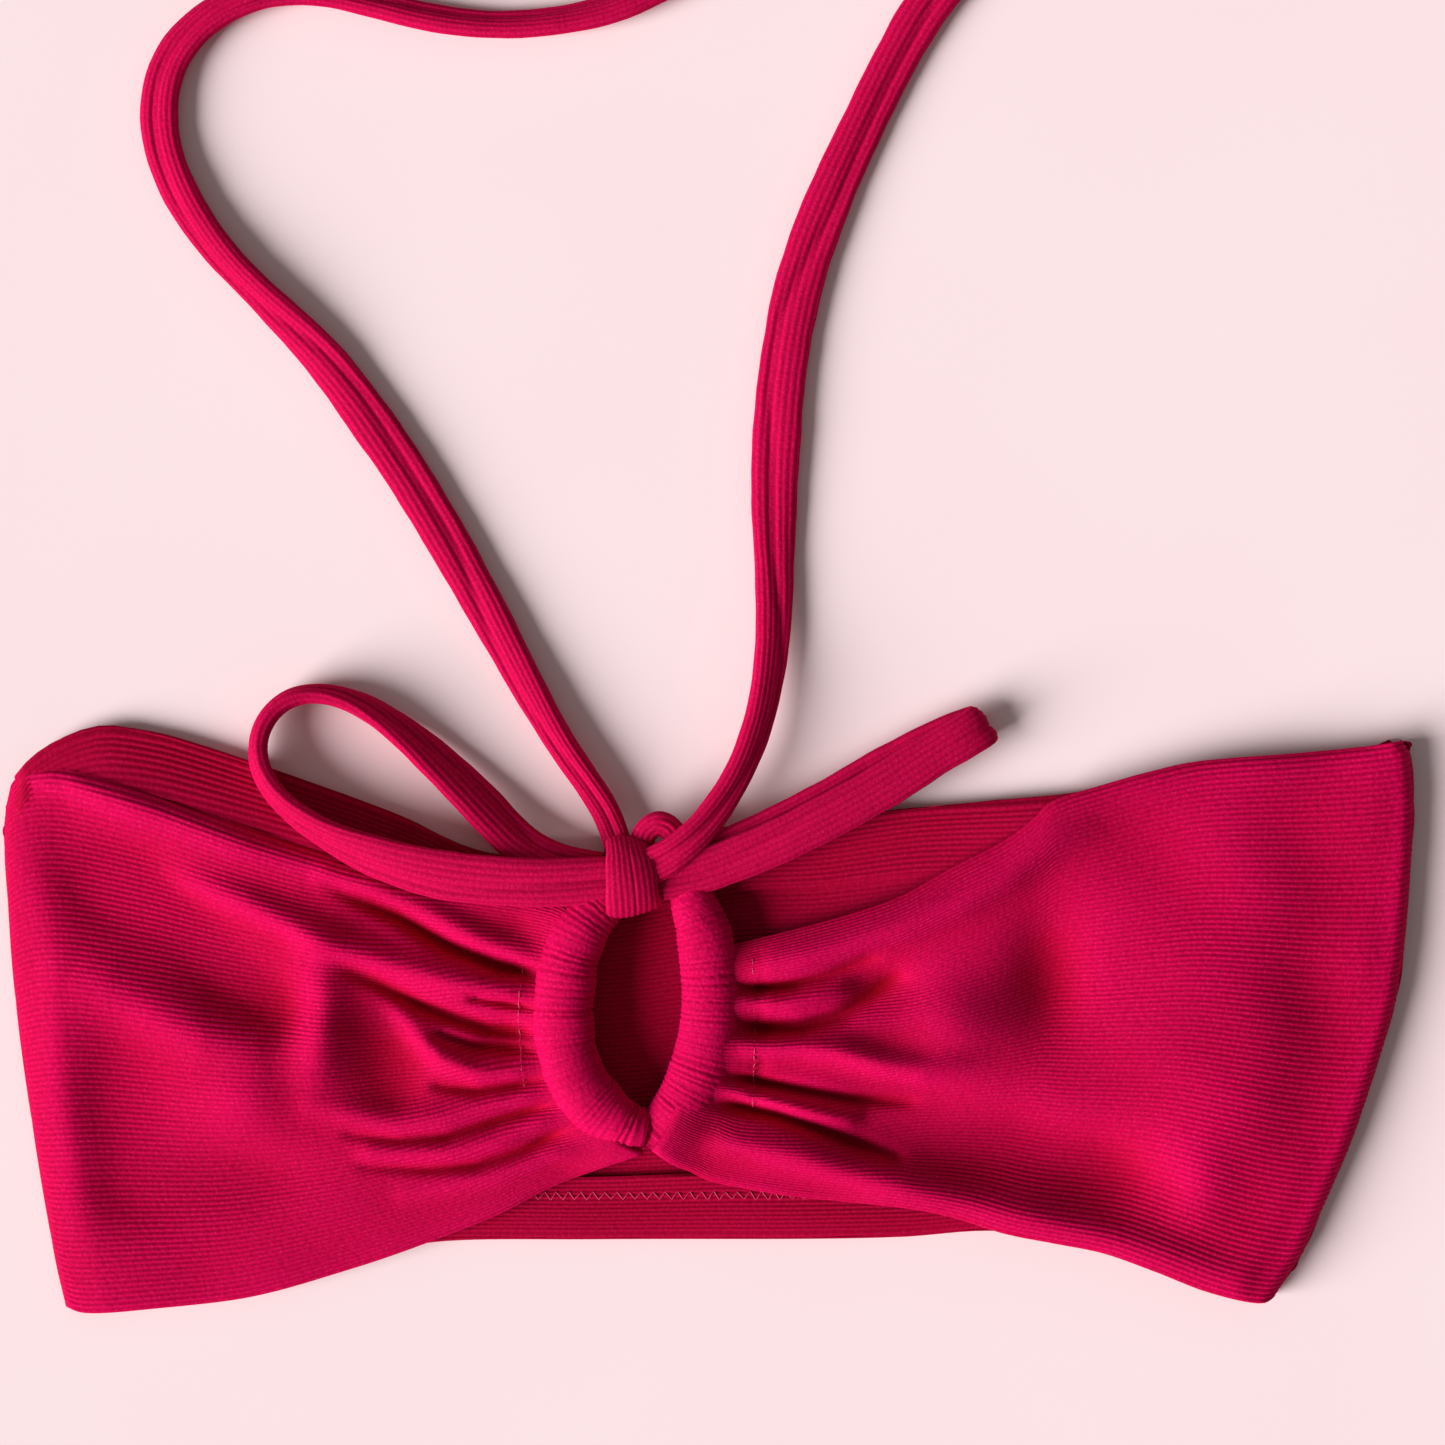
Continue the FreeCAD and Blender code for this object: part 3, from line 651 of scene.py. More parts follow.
RIGHT_FOLDS = [
    ([(-1, 12, 2), (10, 12.6, 3.4), (23, 16, 4.8), (34.5, 19.4, 5), (48, 24, 5), (62, 30, 4.6),
      (74, 36.5, 3.8), (86, 45, 2.2), (98, 50.5, 0.3)], 4.6),
    ([(-1, 9, -5), (13, 8.4, -5.6), (21.5, 9.4, -5.4), (29, 11.4, -3.6), (40, 16, -1.8)], 1.6),
    ([(1, 4.4, 2.6), (20.5, 4.8, 3.2), (33, 8, 2)], 2.6),
    ([(-1, 0, -5.6), (13, -1.8, -6.6), (23, -1.4, -6.6), (33, 1.5, -5.6), (39.5, 5.5, -4.2),
      (46, 10.5, -2)], 2.1),
    ([(2, -6.5, 3), (23, -5.6, 4.2), (33, -7, 4.6), (43, -10, 4), (53, -11.5, 3), (66, -9.5, 0.3)], 3.4),
    ([(-1, -12, -4.6), (14, -15.2, -5.4), (23, -17, -5.2), (35.5, -19.2, -3.8), (50, -20, -1.4)], 1.6),
    ([(0, -16, 2.2), (20.5, -20.5, 3), (35, -24, 2.4)], 2.2),
    ([(-6, -18, -4), (16.5, -23, -5.2), (26.5, -26.4, -5.8), (35.5, -30, -5), (46, -33.5, -2.4)], 1.8),
    ([(-9, -29, 2.4), (-2, -28, 4), (10.5, -30, 4.4), (23, -33, 4.4), (35.5, -36.8, 4.4),
      (55.5, -42, 4), (73, -46.5, 3.4), (93, -51.5, 3), (113, -57.5, 2.4), (131, -64, 1.2)], 4.8),
    ([(40, -27, -3), (56, -29, -5), (76, -31, -6), (96, -35, -6), (112, -40, -4)], 9.5),
    ([(132, 48, 2), (136, 17, 4), (132, -18, 4), (122, -44, 2)], 22),
    ([(12, 17, -0.8), (12.4, 0, -0.8), (12, -20, -0.8)], 0.9),
]
RIGHT_HOLLOWS = [
    (42, 9, 10, 6, -3), (60, 1, 12, 9, 3.8), (85, 12, 9, 14, -4.6), (54, -19.5, 14, 5, -1.8),
    (112, 4, 15, 18, 2.6), (118, -38, 10, 10, 3), (150, 0, 12, 40, -2),
]
# The back's own gentle relief, seen above the front, in the keyhole and below.
BACK_FOLDS = [
    ([(-166, 58, 1), (-150, 60, 2.6), (-127, 53, 3), (-102, 44, 3), (-77, 36, 2)], 8),
    ([(20, 24, 1), (50, 34, 2), (80, 46, 1.5)], 9),
]


def roll_over(distance, radius, drop):
    """How far an edge dips as it rolls over, by distance from the edge."""
    inside = np.clip(distance / radius, 0, 1)
    return -drop * (1 - np.sqrt(1 - (1 - inside) ** 2))


def with_level(line):
    """A line of across and up, with a third value for the distance search."""
    return [(across, up, 0.0) for across, up in line]


def cloth_map(places, ribs, course):
    """The cloth map in millimetres: distance along each rib, and ribs across."""
    rows = len(places)
    middle = places[rows // 2]
    along = distances(middle)
    across = np.linspace(0, ribs * course, rows)
    u, v = np.meshgrid(along, across)
    return np.stack([u, v], axis=-1)


def front_surface(side, rows, columns):
    """The middle surface of one front half, in millimetres, without its ribs."""
    even = np.linspace(0, 1, columns)
    if side == "left":
        places = patch_between(LEFT_FRONT_BOTTOM, LEFT_FRONT_TOP, LEFT_FOLD, LEFT_GATHER, even**1.3, rows)
        fold, gather, folds, hollows = LEFT_FOLD, LEFT_GATHER, LEFT_FOLDS, LEFT_HOLLOWS
        puff, reach, rise, tight = 4.0, 10, 3.0, 5
    else:
        shares = 1 - (1 - even) ** 1.3
        places = patch_between(RIGHT_FRONT_BOTTOM, RIGHT_FRONT_TOP, RIGHT_GATHER, RIGHT_FOLD, shares, rows)
        fold, gather, folds, hollows = RIGHT_FOLD, RIGHT_GATHER, RIGHT_FOLDS, RIGHT_HOLLOWS
        puff, reach, rise, tight = 7.2, 4.6, 1.8, 7.5
    x, y = places[..., 0], places[..., 1]
    y = crowd_rows(x, y, folds, 2.6, 0.66)
    from_fold = nearest_on_line(x, y, with_level(fold))[0]
    from_gather = nearest_on_line(x, y, with_level(gather))[0]
    low, high = up_and_down(places)
    z = 1.0 + puff * (1 - (1 - np.clip(from_fold / reach, 0, 1)) ** 2.4) ** 0.5
    z += rise * smooth((from_fold - 30) / 90)
    settle = smooth(from_fold / 12)
    ease = 0.22 + 0.9 * smooth((from_gather - tight) / 9)
    z += settle * ease * (fold_height(x, y, folds) + hollow_height(x, y, hollows))
    z += 4.0 * (1 - smooth(from_gather / 16))
    z += 0.4 * settle * wobble(x / 7, y / 4, 3)
    lowest = 1.0 + 1.8 * settle
    z = lowest + ((z - lowest) + np.hypot(z - lowest, 2.2 * settle)) / 2
    z += settle * (roll_over(low, 2.4, 1.6) + roll_over(high, 5.5, 3.2))
    return np.stack([x, y, np.maximum(z, 1.0)], axis=-1)


def back_surface(rows, columns):
    """The upper surface of the back, in millimetres, without its ribs."""
    places = patch_between(BACK_BOTTOM, BACK_TOP, LEFT_FOLD, RIGHT_FOLD, np.linspace(0, 1, columns), rows)
    x, y = places[..., 0], places[..., 1]
    from_fold = np.minimum(*(nearest_on_line(x, y, with_level(fold))[0] for fold in (LEFT_FOLD, RIGHT_FOLD)))
    under = np.where(x < 0, 0.15 + 0.85 * smooth((54 - y) / 12), 1.0)
    x = x - np.sign(x) * 3.0 * under * (1 - smooth(from_fold / 10))
    low, high = up_and_down(places)
    z = 1.7 + fold_height(x, y, BACK_FOLDS) + 0.25 * wobble(x / 12, y / 9, 8)
    z = z * smooth(np.minimum(low, high) / 5 + 0.55) + 0.1
    return np.stack([x, y, np.maximum(z, 1.5)], axis=-1)


def cloth_of(places, ribs, course):
    """A surface with its cloth map and its rib numbers."""
    rows, columns = places.shape[:2]
    rib = np.broadcast_to(np.linspace(0, ribs, rows)[:, None], (rows, columns))
    return places, cloth_map(places, ribs, course), rib


# ---------------------------------------------------------------- repeated detail


def node_group(name, inputs):
    """An empty Geometry Nodes tree with a mesh in, a mesh out, and named inputs for its sizes."""
    tree = bpy.data.node_groups.new(name, "GeometryNodeTree")
    tree.interface.new_socket("Mesh", in_out="INPUT", socket_type="NodeSocketGeometry")
    for title, kind in inputs:
        tree.interface.new_socket(title, in_out="INPUT", socket_type=kind)
    tree.interface.new_socket("Mesh", in_out="OUTPUT", socket_type="NodeSocketGeometry")
    return tree, add_node(tree, "NodeGroupInput")


def dress(tree, geometry, cloth):
    """Ends a tree: real geometry, then its material, then the way out."""
    real = add_node(tree, "GeometryNodeRealizeInstances", links={"Geometry": geometry})
    dressed = add_node(
        tree, "GeometryNodeSetMaterial", links={"Geometry": real.outputs[0], "Material": cloth}
    )
    add_node(tree, "NodeGroupOutput", links={"Mesh": dressed.outputs[0]})


def rib_group():
    """Raises the knit's ribs along the surface, by its stored rib number and fullness."""
    if "knit ribs" in bpy.data.node_groups:
        return bpy.data.node_groups["knit ribs"]
    inputs = [("Rib Height", "NodeSocketFloat"), ("Cloth", "NodeSocketMaterial")]
    tree, given = node_group("knit ribs", inputs)
    rib, full = (
        add_node(
            tree, "GeometryNodeInputNamedAttribute", {"Name": title}, data_type="FLOAT"
        ).outputs["Attribute"]
        for title in ("rib", "full")
    )
    centred = maths(tree, "SUBTRACT", maths(tree, "POWER", crown_of(tree, rib), 0.8), 0.5)
    height = maths(tree, "MULTIPLY", maths(tree, "MULTIPLY", centred, full), given.outputs["Rib Height"])
    normal = add_node(tree, "GeometryNodeInputNormal").outputs["Normal"]
    move = add_node(tree, "ShaderNodeVectorMath", links={0: normal, "Scale": height}, operation="SCALE")
    links = {"Geometry": given.outputs["Mesh"], "Offset": move.outputs[0]}
    raised = add_node(tree, "GeometryNodeSetPosition", links=links)
    dress(tree, raised.outputs[0], given.outputs["Cloth"])
    return tree


def stitch_group():
    """Sews a line with small arched stitches that swing from side to side, unevenly by a fixed seed."""
    if "stitch row" in bpy.data.node_groups:
        return bpy.data.node_groups["stitch row"]
    inputs = [(name, "NodeSocketFloat") for name in ("Pitch", "Stitch Length", "Swing", "Thread Size")]
    inputs += [("Seed", "NodeSocketInt"), ("Thread", "NodeSocketMaterial")]
    tree, given = node_group("stitch row", inputs)
    line = add_node(tree, "GeometryNodeMeshToCurve", links={"Mesh": given.outputs["Mesh"]})
    spaced = add_node(
        tree, "GeometryNodeResampleCurve", links={"Curve": line.outputs[0], "Length": given.outputs["Pitch"]},
        mode="LENGTH",
    )
    half = maths(tree, "MULTIPLY", given.outputs["Stitch Length"], 0.5)
    rise = maths(tree, "MULTIPLY", given.outputs["Thread Size"], 2.2)
    places = {"Start": {"X": maths(tree, "MULTIPLY", half, -1.0)}, "Middle": {"Z": rise}, "End": {"X": half}}
    ends = {
        name: add_node(tree, "ShaderNodeCombineXYZ", links=links).outputs[0] for name, links in places.items()
    }
    arch = add_node(tree, "GeometryNodeCurveQuadraticBezier", {"Resolution": 4}, ends)
    strand = add_node(
        tree, "GeometryNodeCurvePrimitiveCircle", {"Resolution": 5}, {"Radius": given.outputs["Thread Size"]}
    )
    stitch = add_node(
        tree, "GeometryNodeCurveToMesh", {"Fill Caps": True},
        {"Curve": arch.outputs[0], "Profile Curve": strand.outputs[0]},
    )
    parity = maths(tree, "MODULO", add_node(tree, "GeometryNodeInputIndex").outputs[0], 2.0)
    sign = maths(tree, "SUBTRACT", 1.0, maths(tree, "MULTIPLY", parity, 2.0))
    seed = {"Seed": given.outputs["Seed"]}
    uneven = add_node(tree, "FunctionNodeRandomValue", {2: -0.12, 3: 0.12}, seed, data_type="FLOAT")
    angle = maths(tree, "ADD", maths(tree, "MULTIPLY", sign, given.outputs["Swing"]), uneven.outputs[1])
    tangent = add_node(tree, "GeometryNodeInputTangent").outputs[0]
    along = add_node(tree, "FunctionNodeAlignRotationToVector", links={"Vector": tangent}, axis="X")
    turn = add_node(tree, "FunctionNodeAxisAngleToRotation", {"Axis": (0, 0, 1)}, {"Angle": angle})
    rotation = add_node(
        tree, "FunctionNodeRotateRotation", links={0: along.outputs[0], 1: turn.outputs[0]},
        rotation_space="LOCAL",
    )
    sewn = add_node(
        tree, "GeometryNodeInstanceOnPoints",
        links={"Points": spaced.outputs[0], "Instance": stitch.outputs[0], "Rotation": rotation.outputs[0]},
    )
    dress(tree, sewn.outputs[0], given.outputs["Thread"])
    return tree


def made_real(piece, group, values):
    """Runs a Geometry Nodes tree on a piece and keeps its result as the piece's plain mesh."""
    modifier = piece.modifiers.new(group.name, "NODES")
    modifier.node_group = group
    for socket in group.interface.items_tree:
        if socket.in_out == "INPUT" and socket.name in values:
            modifier[socket.identifier] = values[socket.name]
    bpy.context.view_layer.update()
    shown = piece.evaluated_get(bpy.context.evaluated_depsgraph_get())
    mesh = bpy.data.meshes.new_from_object(shown)
    piece.modifiers.remove(modifier)
    plain = piece.data
    piece.data = mesh
    bpy.data.meshes.remove(plain)
    mesh.name = piece.name
    mesh.polygons.foreach_set("use_smooth", [True] * len(mesh.polygons))
    mesh.update()
    return piece


def ribbed(piece, finish_name, node, share=1.0):
    """Gives a piece its knit ribs and its cloth, and files it as its CAD node."""
    sizes = bpy.context.scene.halter_sizes
    values = {"Rib Height": sizes.rib_height * share, "Cloth": material_named(finish_name)}
    finish(made_real(piece, rib_group(), values), node)


def sewn_line(name, places, pitch, length, swing, thread, seed):
    """A row of stitches along a line of places in millimetres."""
    mesh = bpy.data.meshes.new(name)
    points = np.asarray(places, float) * MM
    mesh.from_pydata(points.tolist(), [(at, at + 1) for at in range(len(points) - 1)], [])
    values = {
        "Pitch": pitch * MM, "Stitch Length": length * MM, "Swing": math.radians(swing),
        "Thread Size": thread * MM, "Seed": seed, "Thread": material_named("polyester_thread"),
    }
    return made_real(linked(name, mesh), stitch_group(), values)


def resting_on(surface, line, above):
    """A line of across and up laid on a surface, a little above it."""
    flat = surface.reshape(-1, 3)
    spots = curve_through(line, 60)
    nearest = [int(np.argmin(np.hypot(flat[:, 0] - x, flat[:, 1] - y))) for x, y in spots]
    return np.column_stack([spots, evened(flat[nearest, 2], 2) + above])


# ---------------------------------------------------------------- sizes and colours


def size_field(name, millimetres, description):
    """A length of the garment, as a property in metres."""
    return FloatProperty(name=name, description=description, default=millimetres * MM, unit="LENGTH")


def colour_field(name, code, description):
    """A colour of the garment, as a property kept in sRGB."""
    return FloatVectorProperty(
        name=name, description=description, default=srgb(code), subtype="COLOR_GAMMA", min=0, max=1
    )


class HalterSizes(bpy.types.PropertyGroup):
    rib_height: size_field("Rib height", 0.38, "How far the knit's ribs stand up")
    shell: size_field("Shell", 0.8, "Thickness of the ribbed outer layer")
    lining: size_field("Inner layer", 0.5, "Thickness of the inner layer")
    hem: size_field("Back hem", 17, "Width of the turned hems at the back")
    front_hem: size_field("Front hem", 10.5, "Width of the turned hems at the front")
    elastic: size_field("Elastic", 8, "Width of the elastic in the hems")
    strap: size_field("Strap width", 11.4, "Flat width of the strap and the bow")
    strap_depth: size_field("Strap depth", 3.8, "Thickness of the strap and the bow")
    strap_ribs: IntProperty(name="Strap ribs", description="Ribs on each face of the strap", default=8, min=3)
    stitch: size_field("Stitch", 1.5, "Distance from one stitch to the next")


class HalterColours(bpy.types.PropertyGroup):
    cloth: colour_field("Cloth", "#CC034E", "Tops of the knit's loops")
    # Painted shade: the colour that the knit's gaps between loops and ribs are darkened towards.
    cloth_gap_shade: colour_field("Cloth gaps", "#860022", "Between the knit's loops")
    # Painted shade: the inner layer is the same knit as the cloth, given a darker colour for the shadow that
    # it lies in.
    inside: colour_field("Inside", "#B2033A", "Inner layer of the knit")
    strap: colour_field("Strap", "#C60648", "The strap and the bow")
    thread: colour_field("Thread", "#C02C5C", "Sewing thread")
    floor: colour_field("Floor", "#FBE6E9", "The paper under the garment")


# ---------------------------------------------------------------- pieces


def rows_within(places, width, from_top):
    """The rows of a surface that lie within a width of its lower or upper edge."""
    middle = places[:, places.shape[1] // 2]
    steps = distances(middle)
    reach = steps[-1] - steps if from_top else steps
    found = np.flatnonzero(reach <= width)
    return slice(int(found[0]), int(found[-1]) + 1)


def strip_rows(places, inset, width, from_top):
    """The rows of a surface between two distances from its lower or upper edge."""
    outer, inner = rows_within(places, inset, from_top), rows_within(places, inset + width, from_top)
    return slice(inner.start, outer.start) if from_top else slice(outer.stop, inner.stop)


class HALTER_OT_back(bpy.types.Operator):
    """Lay out the back: its panel, inner layer, hems, elastics and zigzag stitching"""

    bl_idname = "halter.back"
    bl_label = "Make the Back"

    def execute(self, context):
        sizes = context.scene.halter_sizes
        places = back_surface(BACK_RIBS * FINE_ROWS + 1, 92)
        cloth = cloth_of(places, BACK_RIBS, BACK_COURSE)
        thick = sizes.lining / MM
        panel = layer_of("back_shell", cloth, thick + 0.03, 1.3, rib_bottom=1.0)
        ribbed(panel, "polyamide_rib_knit", "back_panel")
        inner = layer_of("back_inner", cloth, 0.0, thick, rib_top=1.0)
        ribbed(inner, "polyamide_inner_knit", "back_lining")
        for from_top, label in ((False, "bottom"), (True, "top")):
            width = sizes.hem / MM
            rows = rows_within(places, width, from_top)
            reach = up_and_down(places)[int(from_top)]
            inset = width - reach
            raised = -1.45 * np.sqrt(1 - (1 - np.clip(inset / 1.2, 0, 1)) ** 2)
            raised = raised - 0.35 * np.exp(-(((reach - 6) / 4) ** 2))
            hem = layer_of(f"back_{label}_hem", cloth, raised - 0.5, raised + 0.2, 1.0, 0.0, rows, (1, 1))
            ribbed(hem, "polyamide_inner_knit", f"back_hem_{label}")
            rows = strip_rows(places, 1.5, sizes.elastic / MM, from_top)
            tape = layer_of(f"back_{label}_elastic", cloth, -0.9, -0.3, rows=rows, inset=(1, 1))
            ribbed(tape, "braided_rubber_elastic", f"back_elastic_{label}", 0)
        line = [(x, y + 11) for x, y in BACK_BOTTOM[3:-2]]
        laid = resting_on(places, line, 2.05)
        stitches = sewn_line("back_hem_zigzag", laid, sizes.stitch / MM, 2.4, 52, 0.15, 11)
        finish(stitches, "back_hem_stitches")
        return {"FINISHED"}


class HALTER_OT_fronts(bpy.types.Operator):
    """Gather both front halves: shell, inner layer, hems and elastics"""

    bl_idname = "halter.fronts"
    bl_label = "Make the Fronts"

    def execute(self, context):
        sizes = context.scene.halter_sizes
        for side in ("left", "right"):
            self.make_side(sizes, side)
        return {"FINISHED"}

    def make_side(self, sizes, side):
        """One front half with all its layers."""
        shell, thin = sizes.shell / MM, sizes.lining / MM
        fine = front_surface(side, FRONT_RIBS * FINE_ROWS + 1, 112)
        cloth = cloth_of(fine, FRONT_RIBS, FRONT_COURSE)
        piece = layer_of(f"front_{side}_shell", cloth, 0.0, shell, rib_top=1.0)
        ribbed(piece, "polyamide_rib_knit", f"front_panel_{side}")
        places = front_surface(side, FRONT_RIBS * COARSE_ROWS + 1, 80)
        coarse = cloth_of(places, FRONT_RIBS, FRONT_COURSE)
        inner = layer_of(f"front_{side}_inner", coarse, shell + 0.05, shell + thin + 0.05, rib_bottom=0.8)
        ribbed(inner, "polyamide_inner_knit", f"front_lining_{side}")
        off_fold = (9, 2) if side == "left" else (2, 9)
        for from_top, label in ((False, "bottom"), (True, "top")):
            deep = shell + thin + 0.1
            rows = strip_rows(places, 1.4, sizes.elastic / MM, from_top)
            tape = layer_of(
                f"front_{side}_{label}_elastic", coarse, deep, deep + 0.4, rows=rows, inset=off_fold
            )
            ribbed(tape, "braided_rubber_elastic", f"front_elastic_{label}_{side}", 0)
            rows = rows_within(places, sizes.front_hem / MM, from_top)
            hem = layer_of(
                f"front_{side}_{label}_hem", coarse, deep + 0.45, deep + 0.95, 0.0, 0.8, rows, off_fold
            )
            ribbed(hem, "polyamide_inner_knit", f"front_hem_{label}_{side}")


# Middles of the casings, in millimetres: across, up, height.
LEFT_CASING = [
    (-25, 30.5, 9), (-28.6, 26.5, 9.5), (-32.2, 21, 10), (-34.8, 13, 10), (-35.7, 3, 10),
    (-35, -7, 10), (-31.6, -16, 10), (-26, -22, 9.7), (-19.8, -25.6, 9.2), (-15.6, -26.6, 8.6),
]
RIGHT_CASING = [
    (-14, -29.8, 6.6), (-11.4, -26.2, 8), (-7.6, -21.4, 9), (-3.6, -14.4, 9.6), (-0.8, -5.4, 9.8),
    (0.2, 4, 9.8), (0.2, 13, 9.8), (-1, 21.5, 9.4), (-3.4, 29, 8.6), (-5, 34, 7.8),
]
# Along a casing: share of its length, share of its width, share of its thickness.
CASING_SHAPE = [(0, 0.72, 0.8), (0.15, 0.92, 1), (0.3, 1, 1), (0.8, 1, 1), (0.9, 0.85, 0.9), (1, 0.68, 0.75)]
# The cord inside them, in millimetres.
DRAWCORD_ROUTE = [
    (-22, 33, 8.5), (-25.4, 29.5, 9), (-29.2, 25.5, 9.5), (-32.5, 20, 10), (-34.8, 12.5, 10),
    (-35.7, 3, 10), (-35, -7, 10), (-31.6, -16, 10), (-26, -22, 9.7), (-19.8, -25.6, 9.2),
    (-14.5, -25.8, 8.8), (-9.4, -22.4, 9), (-6, -15.5, 9.6), (-3.2, -6, 9.8), (-2.3, 4, 9.8),
    (-2.2, 13, 9.8), (-3.2, 21.5, 9.4), (-5, 29, 8.6), (-7.8, 34.2, 7.8), (-13.5, 36, 7.8),
]


class HALTER_OT_keyhole(bpy.types.Operator):
    """Shape the two gathered casings round the keyhole, the cord in them and their seams"""

    bl_idname = "halter.keyhole"
    bl_label = "Make the Keyhole"

    def execute(self, context):
        widths = {"left": (14.6, 11.6), "right": (14, 10)}
        lines = {"left": LEFT_CASING, "right": RIGHT_CASING}
        seams = {
            "left": [(-45.5, -16), (-46.5, -8), (-47, 2), (-46, 14)],
            "right": [(11, -20), (11.4, -10), (11.4, 4), (11, 15)],
        }
        for number, (side, (wide, deep)) in enumerate(widths.items()):
            places = curve_through(lines[side], 200)
            shape = [(share, wide * across, deep * thick, 0) for share, across, thick in CASING_SHAPE]
            tube = ribbon(f"keyhole_casing_{side}", places, shape, 0, 48, None, 1.0, 0.035, 21 + number)
            set_rings(tube, places, CASING_RIB, number)
            ribbed(tube, "polyamide_rib_knit", f"casing_{side}", 1.15)
            surface = front_surface(side, FRONT_RIBS * COARSE_ROWS + 1, 80)
            laid = resting_on(surface, seams[side], 0.15)
            row = sewn_line(f"gather_stitches_{side}", laid, 2.2, 1.5, 6, 0.16, 31 + number)
            finish(row, f"gather_seam_{side}")
        even = [(0, 6.4, 5.6, 0), (1, 6.4, 5.6, 0)]
        cord = ribbon("casing_cord", spline_places(DRAWCORD_ROUTE, 6), even, 12, 36)
        ribbed(cord, "polyamide_strap_knit", "drawcord", 0.7)
        return {"FINISHED"}


def set_rings(tube, places, pitch, seed):
    """Turns a tube's ribs so that they cross it, gathered closer and wider by turns."""
    steps = distances(places)
    numbers = steps / pitch + 0.35 * np.sin(steps / 3.1 + seed) + 0.2 * np.sin(steps / 1.7 + 2 * seed)
    mesh = tube.data
    corners = np.empty(len(mesh.vertices) * 3)
    mesh.vertices.foreach_get("co", corners)
    corners = corners.reshape(-1, 3) / MM
    away = ((corners[:, None, :] - places[None, ::2]) ** 2).sum(axis=2)
    mesh.attributes["rib"].data.foreach_set("value", numbers[::2][away.argmin(axis=1)])


# Routes of the bow and the neck strap, in millimetres: across, up, height.
# Points without a height lie at that of the strap on the floor.
STRAP_ON_FLOOR = 2.6
HALTER_ROUTE = [
    (-22.4, 43.7, 5.6), (-24.4, 50.5, 4.4), (-29.6, 58.8, 4.8), (-37, 69, 4.2), (-44, 81.5, 3.4),
    (-51.6, 95.5), (-59, 109), (-67.4, 123.6), (-76, 137.8), (-86.4, 153), (-98, 167.6), (-112, 181.4),
    (-124.6, 194.4), (-133.4, 208.4), (-137.7, 223.4), (-135.6, 238), (-127.2, 249), (-114.2, 255.8),
    (-99.4, 257.2), (-84, 253.6), (-68.6, 249.6), (-52.4, 247.8), (-36.2, 249), (-21, 253),
    (-7, 260.6), (8, 269.4), (21.6, 281), (32, 295), (38.6, 311), (49.4, 325.4), (65.4, 333.8),
    (82.8, 331.4), (95.6, 318), (97.6, 300.4), (88.6, 284.6), (75.4, 272.6), (62.2, 262.4),
    (53.2, 251.4), (45.6, 238), (38.6, 223.6), (32, 209.4), (25.8, 194.8), (21.5, 179.8),
    (18.8, 164.6), (17.1, 149.2), (16.4, 133.6), (16.3, 118), (16.6, 102.6, 3.4), (15.4, 88, 5.2),
    (12.6, 74.2, 7.8), (7.6, 61.2, 10.6), (0.8, 50.6, 13), (-6.2, 43.6, 14.6), (-12.6, 39.4, 13.6),
    (-18.8, 36.6, 11.2),
]
LEFT_LOOP_ROUTE = [
    (-21.6, 35.8, 12.2), (-36.8, 34.6, 13.8), (-49.4, 34.8, 14.4), (-62.4, 36, 14),
    (-75.2, 38.8, 13.4), (-87.6, 43, 12), (-98.8, 48.8, 10.4), (-107.8, 56.2, 8.8),
    (-112.4, 65.2, 7.4), (-111, 74.4, 6.4), (-104.4, 80.8, 5.8), (-95.2, 81.8, 5.4),
    (-85.2, 78.6, 5.2), (-75.2, 71.6, 5.2), (-65, 62.4, 5.6), (-55.2, 52.6, 6.6), (-46.6, 43.8, 8),
    (-37.2, 38.6, 9.2), (-26.9, 37.2, 9.6),
]
RIGHT_LOOP_ROUTE = [
    (-12.9, 35.2, 11.2), (-4.4, 36.4, 11.2), (8.4, 41, 11.2), (21.4, 46.8, 11), (34.2, 53.2, 10.4),
    (46.6, 60.4, 9.4), (57, 67, 8.6), (64, 71, 8.2), (68.2, 73.6, 6.6), (67.8, 74.2, 3.6),
    (62, 72.2, 2.3), (54.2, 69, 3.2), (43.6, 63.2, 3.8), (31.2, 56.2, 4.6), (18.8, 49.8, 5.6),
    (6.8, 44, 6.6), (-4.4, 39, 7.4), (-12.9, 36.2, 7.8),
]

# How the strap lies along its length: share of the length, share of the width, roll in degrees.
HALTER_LIE = [
    (0, 0.6, 0), (0.02, 0.6, 14), (0.04, 0.66, 20), (0.07, 0.82, 10), (0.1, 0.95, 0), (0.155, 0.98, 0),
    (0.185, 0.85, 20), (0.205, 0.68, 38), (0.225, 0.78, 20), (0.26, 0.85, 10), (0.29, 0.8, 20),
    (0.33, 0.7, 34), (0.4, 0.68, 36), (0.46, 0.8, 20), (0.52, 1, 0), (0.7, 1, 0), (0.745, 0.95, 8),
    (0.8, 1.05, 0), (0.86, 1.05, 0), (0.9, 0.82, 16), (0.93, 0.68, 30), (0.955, 0.66, 34),
    (0.975, 0.7, 24), (0.99, 0.78, 8), (1, 0.8, 0),
]
LEFT_LOOP_LIE = [
    (0, 0.95, 0), (0.05, 1.05, 6), (0.2, 1.1, 10), (0.28, 1.0, 24), (0.36, 0.85, 48), (0.42, 0.78, 62),
    (0.5, 0.72, 70), (0.58, 0.72, 66), (0.66, 0.85, 45), (0.74, 0.95, 24), (0.82, 1.0, 14),
    (1, 0.95, 6),
]
RIGHT_LOOP_LIE = [
    (0, 0.9, -8), (0.1, 1.0, -14), (0.3, 1.0, -10), (0.45, 0.95, 0), (0.5, 0.95, 0), (0.56, 0.95, 6),
    (0.75, 1.0, 10), (1, 0.95, 4),
]


